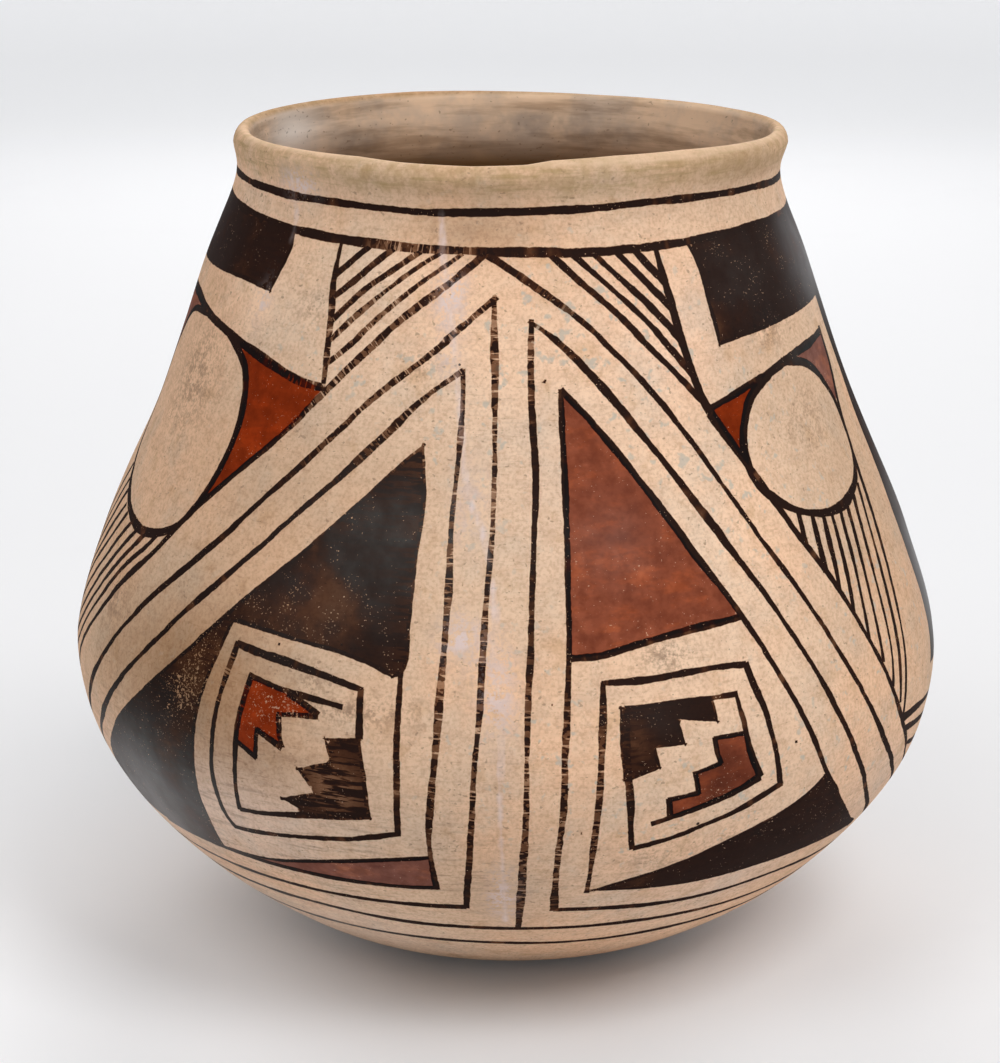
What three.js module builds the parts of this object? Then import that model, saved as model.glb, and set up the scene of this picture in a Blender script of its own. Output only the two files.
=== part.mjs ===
// Painted clay jar (olla): a wide belly on a small flat base, a long sloping shoulder and a short flared rim.
// The real jar is one fired wall, built up from coils and scraped smooth, so it is one closed mesh here.
// Millimetres, +Z up. The origin is the middle of the flat resting face, and the front of the jar faces -Y.

import * as THREE from 'three';

// Outside radii, from the base to the rim
const BASE_RADIUS = 50;
const HEEL_RADIUS = 71.5;
const BOWL_RADIUS = 101.8;
const UNDER_BELLY_RADIUS = 128.3;
const BELLY_RADIUS = 136.5;
const LOW_SHOULDER_RADIUS = 126.5;
const MID_SHOULDER_RADIUS = 107;
const HIGH_SHOULDER_RADIUS = 92.2;
const NECK_RADIUS = 83;
const RIM_RADIUS = 85;

// Height of each of those places above the one before it
const HEEL_RISE = 6.5;
const BOWL_RISE = 21;
const UNDER_BELLY_RISE = 32.5;
const BELLY_RISE = 30;
const LOW_SHOULDER_RISE = 35.5;
const MID_SHOULDER_RISE = 45;
const HIGH_SHOULDER_RISE = 42;
const NECK_RISE = 25.5;
const RIM_RISE = 9.8;

// Clay: thickness of the wall and of the floor, and the flat part of the floor inside
const WALL = 5.4;
const FLOOR_THICKNESS = 8;
const INSIDE_FLOOR_RADIUS = 40;
const RIM_CREST_HEIGHT = 4.2;

// The inside leaves its floor at the bowl, which is the outside's third place
const FIRST_STATION_INSIDE = 2;

// Fineness of the mesh
const STEPS_AROUND = 64;
const OUTSIDE_STEPS_PER_PLACE = 3;
const INSIDE_STEPS_PER_PLACE = 2;
const RIM_STEPS = 6;

const CLAY_COLOUR = 0xd6b996;
const CLAY_ROUGHNESS = 0.5;
const CLAY_METALNESS = 0;

// The places that the outside passes through: radius, then height
function outsideStations() {
  const places = [
    [BASE_RADIUS, 0],
    [HEEL_RADIUS, HEEL_RISE],
    [BOWL_RADIUS, BOWL_RISE],
    [UNDER_BELLY_RADIUS, UNDER_BELLY_RISE],
    [BELLY_RADIUS, BELLY_RISE],
    [LOW_SHOULDER_RADIUS, LOW_SHOULDER_RISE],
    [MID_SHOULDER_RADIUS, MID_SHOULDER_RISE],
    [HIGH_SHOULDER_RADIUS, HIGH_SHOULDER_RISE],
    [NECK_RADIUS, NECK_RISE],
    [RIM_RADIUS, RIM_RISE],
  ];
  let height = 0;
  return places.map(([radius, rise]) => {
    height += rise;
    return new THREE.Vector3(radius, height, 0);
  });
}

// A smooth curve through the places, without overshoot where they lie unevenly
function smoothCurve(stations) {
  return new THREE.CatmullRomCurve3(stations, false, 'centripetal');
}

// Points on a curve, with the same number of steps between each place and the next
function pointsAlong(curve, stepsPerPlace) {
  return curve.getPoints((curve.points.length - 1) * stepsPerPlace);
}

// Direction from the outside face into the clay, at a share of the way along the outside curve
function intoTheClay(outside, share) {
  const along = outside.getTangent(share);
  return new THREE.Vector3(-along.y, along.x, 0);
}

// The inside runs one wall thickness behind the outside stations, from the floor up to the rim
function insideStations(outside, stations) {
  const places = [new THREE.Vector3(INSIDE_FLOOR_RADIUS, FLOOR_THICKNESS, 0)];
  const last = stations.length - 1;
  for (let i = FIRST_STATION_INSIDE; i <= last; i += 1) {
    const inward = intoTheClay(outside, i / last);
    places.push(stations[i].clone().addScaledVector(inward, WALL));
  }
  return places;
}

// The rim is rounded over from the outside face to the inside face
function rimPoints(outer, inner) {
  const middle = outer.clone().add(inner).multiplyScalar(0.5);
  const half = outer.clone().sub(middle);
  const points = [];
  for (let i = 1; i < RIM_STEPS; i += 1) {
    const turn = (Math.PI * i) / RIM_STEPS;
    const point = middle.clone().addScaledVector(half, Math.cos(turn));
    point.y += RIM_CREST_HEIGHT * Math.sin(turn);
    points.push(point);
  }
  return points;
}

function jarProfile() {
  const stations = outsideStations();
  const outside = smoothCurve(stations);
  const inside = smoothCurve(insideStations(outside, stations));
  const outer = pointsAlong(outside, OUTSIDE_STEPS_PER_PLACE);
  const inner = pointsAlong(inside, INSIDE_STEPS_PER_PLACE).reverse();
  const rim = rimPoints(outer[outer.length - 1], inner[0]);
  const wall = [...outer, ...rim, ...inner].map((point) => new THREE.Vector2(point.x, point.y));
  return [new THREE.Vector2(0, 0), ...wall, new THREE.Vector2(0, FLOOR_THICKNESS)];
}

function makeJar() {
  const geometry = new THREE.LatheGeometry(jarProfile(), STEPS_AROUND);
  geometry.rotateX(Math.PI / 2);
  const clay = new THREE.MeshStandardMaterial({
    color: CLAY_COLOUR,
    roughness: CLAY_ROUGHNESS,
    metalness: CLAY_METALNESS,
  });
  const jar = new THREE.Mesh(geometry, clay);
  jar.name = 'olla_body';
  return jar;
}

const olla = new THREE.Group();
olla.add(makeJar());

export default olla;
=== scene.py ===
"""Painted clay jar on a plain pale stage. One spun wall carries the whole design as mesh attributes."""

import math

import bmesh
import bpy
import numpy as np
from bpy.props import FloatProperty, FloatVectorProperty, IntProperty, PointerProperty
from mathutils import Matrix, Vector


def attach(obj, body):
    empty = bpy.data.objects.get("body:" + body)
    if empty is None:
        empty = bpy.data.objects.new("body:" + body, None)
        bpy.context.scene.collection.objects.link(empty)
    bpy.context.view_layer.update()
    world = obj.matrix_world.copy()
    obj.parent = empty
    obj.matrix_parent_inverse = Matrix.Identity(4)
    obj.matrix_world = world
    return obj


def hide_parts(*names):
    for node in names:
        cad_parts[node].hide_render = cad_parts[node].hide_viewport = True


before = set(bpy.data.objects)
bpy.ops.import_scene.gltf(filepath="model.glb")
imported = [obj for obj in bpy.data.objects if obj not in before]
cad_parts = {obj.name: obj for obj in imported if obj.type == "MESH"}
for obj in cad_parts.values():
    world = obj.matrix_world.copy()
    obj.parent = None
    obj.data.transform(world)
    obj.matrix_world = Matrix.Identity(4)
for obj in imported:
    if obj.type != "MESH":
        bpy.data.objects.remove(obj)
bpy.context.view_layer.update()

bl_info = {
    "name": "Painted Olla",
    "version": (1, 0, 0),
    "blender": (4, 5, 0),
    "location": "View3D > Sidebar > Olla",
    "description": "Builds a hand-painted clay jar and the plain stage that it stands on",
    "category": "Add Mesh",
}

JAR_NODE = "olla_body"
MM = 0.001


# Shape of the jar, in millimetres

# Places between the named radii: radius, then height
BOWL_PLACES = ((71.5, 6.5), (101.8, 27.5), (128.3, 60.0))
SHOULDER_PLACES = ((126.5, 125.5), (107.0, 170.5), (92.2, 212.5))
BELLY_HEIGHT = 90.0
NECK_HEIGHT = 238.0
RIM_HEIGHT = 247.4
INSIDE_FLOOR = (40.0, 8.0)
# The flat of the base and of the floor inside, in a few rings
BASE_RINGS = (0.0, 18.0, 36.0)
FLOOR_RINGS = (20.0, 0.0)
LIP_STEPS = 10

# Points off the outside that lie above this height and inside this radius are on the inside
UNDERSIDE = 1.0
INSIDE_RADIUS = 81.9

# The hand-built wall leans a little to one side and back: height, then sideways shift
LEAN = ((0, 1.9), (20, 1.9), (45, 1.2), (70, 0.5), (95, -0.5), (125, -0.3), (175, -0.1), (225, 0.0),
        (238, 0.6), (248, 1.2), (260, 1.2))
# The lip rises and falls round the mouth: degrees from the front, then height of its crest
CREST = ((-157, 251.2), (-113, 251.2), (-62, 250.8), (-32, 251.1), (-22, 250.3), (-8, 250.0), (3, 250.5),
         (8, 251.6), (21, 252.3), (37, 252.4), (51, 251.8), (66, 251.2), (104, 250.6), (120, 250.1),
         (160, 250.0), (180, 250.5))
CREST_START = 240.0
CREST_REACH = 9.0


# The painted design, in degrees from the front (plus to its right) and millimetres of height

# One panel fills half the jar, from the back left to the right, and the other half is its mirror image
PANEL_MIRROR = 168.0

# Each line: widths along it, then the places that it passes through
LINES = {
    "neck_ring": ((2.1, 2.2, 2.3, 2.1, 2.0, 2.1, 2.4, 2.0, 1.9, 2.3, 2.1),
                  ((-96, 238.2), (-80, 238.6), (-64, 238.2), (-44, 237.8), (-19, 237), (7, 237.9),
                   (33, 238.5), (52, 238.5), (72, 237.6), (84, 237.6))),
    "shoulder_ring": ((2.4, 2.4, 2.2, 2.0, 2.5, 1.9, 2.4, 2.2, 1.7, 2.2, 2.2),
                      ((-96, 231.8), (-78, 231.2), (-56, 229.3), (-36, 228.2), (-15, 227.2),
                       (5.5, 226.6), (31, 226.8), (58, 227.6), (77, 227.8), (84, 228))),
    "foot_ring": ((2.2, 2.0, 2.3, 2.1, 2.4),
                  ((-96, 33), (-50, 34), (-32, 33.8), (-19, 32.7), (6, 32), (32, 31.2), (54, 31.2),
                   (84, 32))),
    "lower_foot_ring": ((2.2, 2.0, 2.3, 2.6, 2.2),
                        ((-96, 23.5), (-50, 23.6), (-20, 23.8), (6.5, 23), (20, 23.4), (50, 24),
                         (84, 23.5))),
    "left_floor": ((1.8, 1.7, 1.8, 2.4),
                   ((-96, 42), (-50, 42.2), (-38.5, 41.7), (-25.5, 41.6), (-13, 42.1), (-6.5, 42.7))),
    "right_floor": ((2.6, 2.2, 1.9, 1.8, 2.0, 1.9),
                    ((6.3, 41.2), (16.5, 40.3), (22, 39.6), (32, 39.5), (42, 40.6), (59, 39.4),
                     (84, 39.5))),
    # Tent, left slope
    "left_slope": ((2.4, 1.9, 2.2, 1.6, 2.0, 2.3, 1.7, 2.1, 1.9, 2.1),
                   ((-4.2, 226.6), (-11.5, 217.1), (-19.4, 206.4), (-26.2, 195.1), (-34.7, 178.8),
                    (-44.2, 162), (-52.2, 146.1), (-58.1, 132.5), (-64.5, 120.5), (-70.2, 106.8),
                    (-80, 82), (-90, 58), (-96, 47))),
    "left_second": ((1.4, 2.0, 1.7, 1.8, 2.4, 1.7, 2.1, 2.4, 2.0, 2.3),
                    ((-1.8, 214.9), (-8.8, 205.4), (-22.8, 184.6), (-35, 161.5), (-47.3, 136.6),
                     (-59.1, 112.3), (-64.3, 98.1), (-72.5, 79.1), (-82, 60), (-91, 44))),
    "left_third": ((1.5, 2.2, 1.6, 1.9, 1.7, 2.2, 1.9, 2.0),
                   ((-7.1, 195.7), (-13.2, 187.7), (-24.5, 166.9), (-35.3, 145.5), (-45.6, 124.4),
                    (-55.8, 100.8), (-60.9, 88.6), (-69.1, 72.4), (-78, 54), (-85, 43))),
    # Tent, right slope
    "right_slope": ((2.2, 1.7, 1.8, 1.4, 1.8, 1.4, 1.9, 2.0, 1.7, 1.8),
                    ((-3.8, 226.4), (4.4, 218.7), (12, 209.6), (19.1, 198.1), (25.1, 185.5),
                     (30.2, 172.1), (35.2, 156.1), (43.6, 125.1), (51.9, 93), (56.8, 78),
                     (61.3, 68.1), (69.3, 54.7), (77, 42))),
    "right_second": ((1.2, 2.3, 2.0, 2.5, 1.7, 1.7, 1.8, 2.0, 1.9, 1.9),
                     ((3.9, 208.4), (10.3, 200.3), (15.8, 189.9), (25.4, 167), (33.2, 141.8),
                      (40.4, 115.7), (47.3, 87), (51.2, 73.5), (55.7, 61.9), (65.5, 45.8), (68, 40))),
    "right_third": ((2.0, 2.2, 2.2, 2.2, 1.6, 1.6, 1.9, 2.5, 2.4),
                    ((8.9, 190), (14, 180.4), (20, 164.9), (25.4, 148.8), (33.3, 122.1),
                     (38.4, 99.6), (43.5, 77.4), (52.5, 56.1), (59.7, 47.2))),
    "right_border": ((3.0, 2.9, 2.1, 1.8, 1.7, 2.0, 1.6, 2.0, 2.0),
                     ((34.2, 180.6), (40.6, 160.8), (46.5, 139.7), (52.3, 118.3), (57.5, 96.6),
                      (60.3, 85.4), (64, 75.1), (69.2, 63.5), (80, 50), (84, 46))),
    # Uprights
    "left_upright": ((1.7,), ((-12.9, 116.5), (-12.9, 87.8), (-13.1, 79.6), (-13.5, 69.7))),
    "upright_1": ((1.2, 1.8, 1.2, 1.3, 2.1, 1.8, 2.4, 1.6, 2.0, 1.6, 2.0),
                  ((-7.2, 195.7), (-7, 180), (-7.6, 155.6), (-7.4, 135.5), (-7.9, 115.5),
                   (-8.2, 94.5), (-8.8, 83.1), (-9.6, 70.3), (-9.8, 50.2))),
    "upright_2": ((1.3, 2.1, 1.5, 1.3, 1.5, 1.2, 2.3, 1.6, 1.4, 1.5, 2.2, 1.7),
                  ((-2.1, 215.3), (-1.9, 203), (-1.8, 161), (-2.3, 144), (-3, 108), (-4, 82.5),
                   (-5.2, 58.5), (-6.1, 42.2))),
    "upright_3": ((1.5, 2.0, 1.7, 1.7, 1.6, 1.8, 1.4, 1.6, 2.1, 2.2, 2.0),
                  ((4.3, 208.7), (4, 190), (4.2, 166), (3.5, 136.6), (2.6, 100), (1.9, 62.8), (1, 33))),
    "upright_4": ((1.8, 2.0, 1.6, 1.5, 1.7, 1.8, 1.7, 1.8, 2.0, 2.2),
                  ((8.9, 190), (8.5, 161.6), (7.9, 120), (6.9, 88.8), (6, 58.7), (6.2, 41.2))),
    # Left square
    "left_square_foot": ((1.9, 1.6, 1.4, 1.5, 1.8),
                         ((-13.4, 70), (-19.9, 66.9), (-28, 63.9), (-35.5, 61.9), (-37.8, 61.8))),
    "left_square_side": ((1.7,), ((-37.8, 61.8), (-38.6, 66), (-38.7, 79.9), (-38, 91.4),
                         (-36.9, 106.9), (-36, 118))),
    "left_square_top": ((1.7, 2.1, 1.9, 1.7), ((-36, 118.2), (-31.4, 116.8), (-26.7, 115.4),
                        (-21.7, 113.4), (-17.6, 111.3))),
    "left_square_near": ((1.9,), ((-17.6, 111.4), (-17.6, 106.8), (-17.4, 98.4))),
    "left_inner_foot": ((2.2, 1.9, 1.7, 1.2), ((-18, 74.4), (-21.5, 73.4), (-28.1, 71.3),
                        (-33.1, 69.6), (-35.4, 69.4))),
    "left_inner_side": ((1.7,), ((-35.5, 69.3), (-35.2, 77.9), (-34.5, 88.3), (-33.9, 99.5),
                        (-33, 110.7))),
    "left_inner_top": ((1.8,), ((-33.2, 110.6), (-28.7, 108.5), (-24.8, 107.5), (-20, 106.1))),
    "flame_1": ((1.8, 2.0), ((-27.2, 107.5), (-25, 105.4), (-23.1, 103))),
    "flame_2": ((2.0, 1.4), ((-23.1, 103), (-28.3, 101.4))),
    "flame_3": ((1.6,), ((-28.3, 101.4), (-28, 96), (-27.6, 93))),
    "flame_4": ((2.2, 1.7), ((-27.6, 93), (-31.1, 96.5))),
    "flame_5": ((1.6,), ((-31.1, 96.6), (-31.4, 88))),
    "flame_6": ((1.8, 1.5), ((-31.4, 88), (-34.3, 91.9))),
    "wedge_top": ((1.3, 1.6), ((-42.1, 50.7), (-38.1, 50.9), (-33.7, 51.9), (-25.5, 55.7),
                  (-18.9, 58.8), (-10, 62.8))),
    "wedge_foot": ((2.0,), ((-58, 50), (-43, 50.1), (-29, 49.6), (-15, 49.8), (-9.8, 50.3))),
    # Right square
    "right_square_side": ((1.5, 1.4, 1.7, 1.8, 1.8, 2.4, 1.8),
                          ((10.3, 48.6), (10.4, 61.1), (10.8, 76), (11.3, 88.2), (11.7, 102.9),
                           (11.9, 114.3))),
    "right_square_top": ((1.4, 2.1, 1.7, 1.5, 2.0), ((11.9, 114.2), (16.6, 114.3), (21, 114.9),
                         (27.3, 115.1), (31.2, 114.5))),
    "right_square_far": ((2.1, 2.4, 2.1, 1.7, 1.9), ((31.2, 114.5), (31.9, 109), (33.2, 101.3),
                         (34.7, 87.8), (35.5, 78.1))),
    "right_square_foot": ((1.8, 2.2, 1.7, 1.5, 1.8), ((35.6, 78), (33.2, 75.7), (29.3, 72.3),
                          (25, 69.6), (20.9, 67.2), (15.7, 64.8))),
    "right_inner_side": ((1.6, 1.9, 2.4, 1.9), ((15.5, 64.7), (15.1, 70.1), (14.9, 78.5),
                         (14.5, 92.5), (14.6, 107))),
    "right_inner_top": ((1.6,), ((14.6, 107.1), (21.9, 107.4), (29.3, 106.9))),
    "right_inner_far": ((1.4, 1.6, 2.4, 2.4), ((29.3, 107), (29.7, 102), (30.1, 98.6), (30.8, 89.3),
                        (32.1, 81.7))),
    "right_inner_foot": ((2.0,), ((32.1, 81.8), (28.7, 78.9), (23.9, 75.8), (17.8, 72))),
    "stair_1": ((1.4,), ((30, 95.9), (25.8, 96.1))),
    "stair_2": ((1.7,), ((25.8, 96.1), (26, 92), (26.5, 88.2))),
    "stair_3": ((1.5,), ((26.5, 88.3), (23, 86.6))),
    "stair_4": ((1.7,), ((23, 86.7), (23.6, 80.3))),
    "stair_5": ((1.5,), ((23.6, 80.4), (19.7, 79.6))),
    "stair_6": ((1.6,), ((19.7, 79.7), (20, 73.6))),
    "red_foot": ((2.2, 2.1, 1.9), ((8, 121), (11.8, 121.2), (17, 123.3), (22.6, 125.1), (31.8, 127.2))),
    # Hatching under the shoulder ring
    "left_hatch_post": ((1.4, 1.7, 2.4, 2.3, 1.8, 1.6, 1.5),
                        ((-33.1, 227.5), (-32.9, 217), (-32.1, 209.2), (-31.3, 198), (-30.9, 188))),
    "left_hatch_1": ((2.1,), ((-26.9, 227), (-29, 224), (-30.9, 221.2), (-32.6, 218.8))),
    "left_hatch_2": ((1.8, 1.7, 2.1), ((-21.6, 226.9), (-24.7, 223), (-28.5, 217.6), (-32.4, 212.4))),
    "left_hatch_3": ((1.9, 1.5, 1.6, 2.1, 1.7), ((-16.4, 226.8), (-21.2, 221.1), (-26.1, 215),
                     (-31.6, 206.1))),
    "left_hatch_4": ((1.7, 1.4, 1.3, 1.6, 1.8), ((-11.9, 226.9), (-15.7, 222.9), (-20.6, 217),
                     (-25.3, 210.7), (-31.2, 201.4))),
    "left_hatch_5": ((1.4, 1.2, 1.4, 1.5, 1.8), ((-8.3, 226.3), (-15, 218.5), (-21.5, 210),
                     (-25.9, 202.9), (-31, 195))),
    "right_hatch_post": ((1.5, 2.1, 2.3, 2.3, 2.7, 2.6, 3.0),
                         ((29.1, 226.5), (29.6, 219), (30.1, 213.4), (30.7, 206), (31.5, 198),
                          (33.1, 184.3), (34.2, 180.4))),
    "right_hatch_1": ((2.3, 2.2, 1.9, 1.8, 1.5, 1.8, 2.0), ((8.2, 226), (14.9, 216.7), (19.5, 209.7),
                      (23.7, 202.1), (27.7, 194.5), (32.8, 184.4))),
    "right_hatch_2": ((2.0, 1.6, 1.5, 1.6, 1.8, 2.2), ((12.3, 226.2), (16.8, 219.5), (21.4, 212.6),
                      (25.9, 204.6), (32.2, 191))),
    "right_hatch_3": ((1.8, 1.9, 1.9, 2.2), ((16.4, 226.2), (19.8, 220.9), (23, 215.6), (26.1, 210.3),
                      (31, 201))),
    "right_hatch_4": ((1.5, 1.7, 2.3, 1.9), ((20.9, 226), (23.9, 220.9), (27.2, 214.8), (30.7, 208))),
    "right_hatch_5": ((1.9, 2.2, 2.3), ((24.7, 226.1), (27.1, 221.5), (30, 216))),
    # Panel with the disc, left
    "left_panel_top": ((2.4, 2.4, 2.6, 2.6, 3.2, 2.6, 2.2),
                       ((-96, 203), (-77, 202.8), (-69, 200.9), (-61, 198.7), (-54, 196.4),
                        (-47.5, 194), (-41.5, 191.4), (-35.6, 188.7), (-31, 187.7))),
    "left_panel_side": ((2.0,), ((-89.5, 203), (-89.2, 180), (-88.6, 150), (-86, 115), (-81, 90))),
    "left_disc": ((2.2, 2.6, 2.4, 2.3, 2.9, 2.2, 2.1, 2.2, 2.2),
                  ((-66, 200.2), (-57.4, 197.2), (-49.4, 189), (-47, 177), (-48, 163), (-51, 149.8),
                   (-55.4, 141.4), (-62.4, 137.9), (-69, 139.7), (-74, 143.4), (-80, 150.5),
                   (-84.6, 160), (-86, 172), (-84, 186), (-77, 197.6), (-66, 200.2))),
    "left_panel_hatch_1": ((1.9, 1.6, 1.5, 1.6), ((-58.1, 138.6), (-59.9, 134.4), (-66.7, 122),
                           (-72.8, 107.7), (-77, 97.5), (-81, 90.5))),
    "left_panel_hatch_2": ((2.3, 1.8, 1.5, 1.7), ((-61.2, 138), (-64.2, 131.9), (-71.9, 116.4),
                           (-77.6, 102.6), (-82.5, 93.5))),
    "left_panel_hatch_3": ((1.9, 1.7, 1.5), ((-64.7, 137), (-69.9, 126), (-73.8, 117.9),
                           (-79.8, 104.4), (-83.5, 98))),
    "left_panel_hatch_4": ((1.7,), ((-67.8, 137.6), (-70.5, 131.6), (-74.2, 123.4), (-84.5, 103))),
    "left_panel_hatch_5": ((1.7,), ((-70.8, 139), (-74.4, 130.3), (-79.8, 119.8), (-85.5, 107.5))),
    "left_panel_hatch_6": ((1.7,), ((-73.2, 140.3), (-75.2, 135.6), (-82.8, 118.8), (-86.3, 111.5))),
    "left_panel_hatch_7": ((1.7,), ((-75.6, 143.3), (-80.6, 130), (-86.8, 116.5))),
    "left_panel_hatch_8": ((1.7,), ((-77.5, 146), (-82, 134), (-87.3, 121.5))),
    "left_panel_hatch_9": ((1.7,), ((-80, 148.8), (-84, 137), (-87.7, 126.5))),
    # Panel with the disc, right
    "right_panel_top": ((1.8, 2.0, 2.4, 2.6, 2.4, 2.0), ((34.2, 181.4), (41.5, 184.8), (48.2, 187.6),
                        (53, 189.6), (57.9, 190.9), (64, 191.8), (73, 192.9))),
    "right_panel_side": ((1.9, 2.1, 1.9, 1.7, 1.6), ((72.8, 194), (72.3, 183.7), (70.1, 173.5),
                         (68.1, 159.3), (66.5, 145), (65.3, 134), (64.6, 120), (63.6, 108.4),
                         (62.4, 93.9), (61.7, 83))),
    "right_disc": ((2.5, 2.8, 2.4, 3.2, 3.2, 2.1, 2.0, 2.6, 2.4, 2.2, 2.5, 2.4, 2.5),
                   ((54.4, 189.7), (48, 186.9), (42.8, 182.2), (40.2, 175.4), (39.3, 167),
                    (40.6, 159), (43.4, 154), (47.4, 149.8), (53.2, 147.5), (59.2, 147.9),
                    (64.7, 151.4), (67.8, 158), (68.9, 166), (68.6, 173), (66.4, 179.6),
                    (61.8, 186.4), (54.4, 189.7))),
    "right_panel_hatch_1": ((1.9, 2.2, 2.8), ((46.6, 149.4), (46.1, 141.2))),
    "right_panel_hatch_2": ((2.1, 2.6, 2.2, 2.3, 2.6), ((49.3, 148.1), (48.8, 141), (48.4, 133))),
    "right_panel_hatch_3": ((1.8, 2.5, 2.8, 2.4, 2.1, 2.3), ((51.9, 147.2), (51, 139.4), (50.6, 132),
                            (50.1, 126.5))),
    "right_panel_hatch_4": ((1.3, 1.8, 1.8, 1.7, 2.0), ((54.1, 147.1), (53.3, 137), (52.8, 129),
                            (52.2, 119.5))),
    "right_panel_hatch_5": ((2.0, 1.9, 1.7, 1.6, 1.5, 1.6), ((56.8, 147), (56, 140.3), (55.2, 131),
                            (54.6, 119), (54.2, 111.5))),
    "right_panel_hatch_6": ((2.0, 1.7, 1.4, 1.5, 1.6, 1.8), ((59, 147.4), (57.7, 134), (57.2, 121.7),
                            (56.6, 102.8))),
    "right_panel_hatch_7": ((2.2, 1.6, 1.4, 1.4, 1.4, 1.5), ((62, 148.2), (61, 141.9), (60, 131.6),
                            (59.7, 119), (59.2, 106.5), (58.4, 94.5))),
    "right_panel_hatch_8": ((1.7, 1.7, 1.6, 2.0, 1.8, 2.0, 1.5), ((64.9, 150.2), (63.7, 142.2),
                            (62.5, 131), (62.2, 120), (61.2, 103.6), (60.5, 88))),
    # Short lines that close the foot between two slopes
    "foot_tie_1": ((2.8, 1.8, 1.8), ((61.5, 81.9), (66, 81.5), (84, 77))),
    "foot_tie_2": ((2.2, 1.9), ((62.7, 77.7), (84, 70))),
    "foot_tie_3": ((2.0,), ((66.6, 70.1), (84, 62))),
    # Chips and pits that show as dark dots: dirt in them, and painted shade in each hollow
    "pit_1": ((0.9,), ((-6, 140.3), (-5.8, 140.3))),
    "pit_2": ((1.0,), ((5.9, 111.8), (6.1, 111.8))),
    "pit_3": ((0.6,), ((5.7, 109.1), (5.8, 109.1))),
    "pit_4": ((0.8,), ((9, 71.1), (9.2, 71.1))),
    "pit_5": ((0.7,), ((7.3, 85.3), (7.5, 85.3))),
    "pit_6": ((0.7,), ((-7.9, 76.5), (-7.7, 76.5))),
    "pit_7": ((0.8,), ((-29.7, 120), (-29.5, 120))),
    "pit_8": ((0.8,), ((37.6, 89.7), (37.8, 89.7))),
    "pit_9": ((0.9,), ((31, 105.2), (31.2, 105.2))),
    "pit_10": ((0.8,), ((-21.1, 122.4), (-20.9, 122.4))),
    "pit_11": ((1.0,), ((6, 192.8), (6.2, 192.7))),
    "rim_nick": ((1.6,), ((-84, 249.2), (-84.2, 246))),
}

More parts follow.
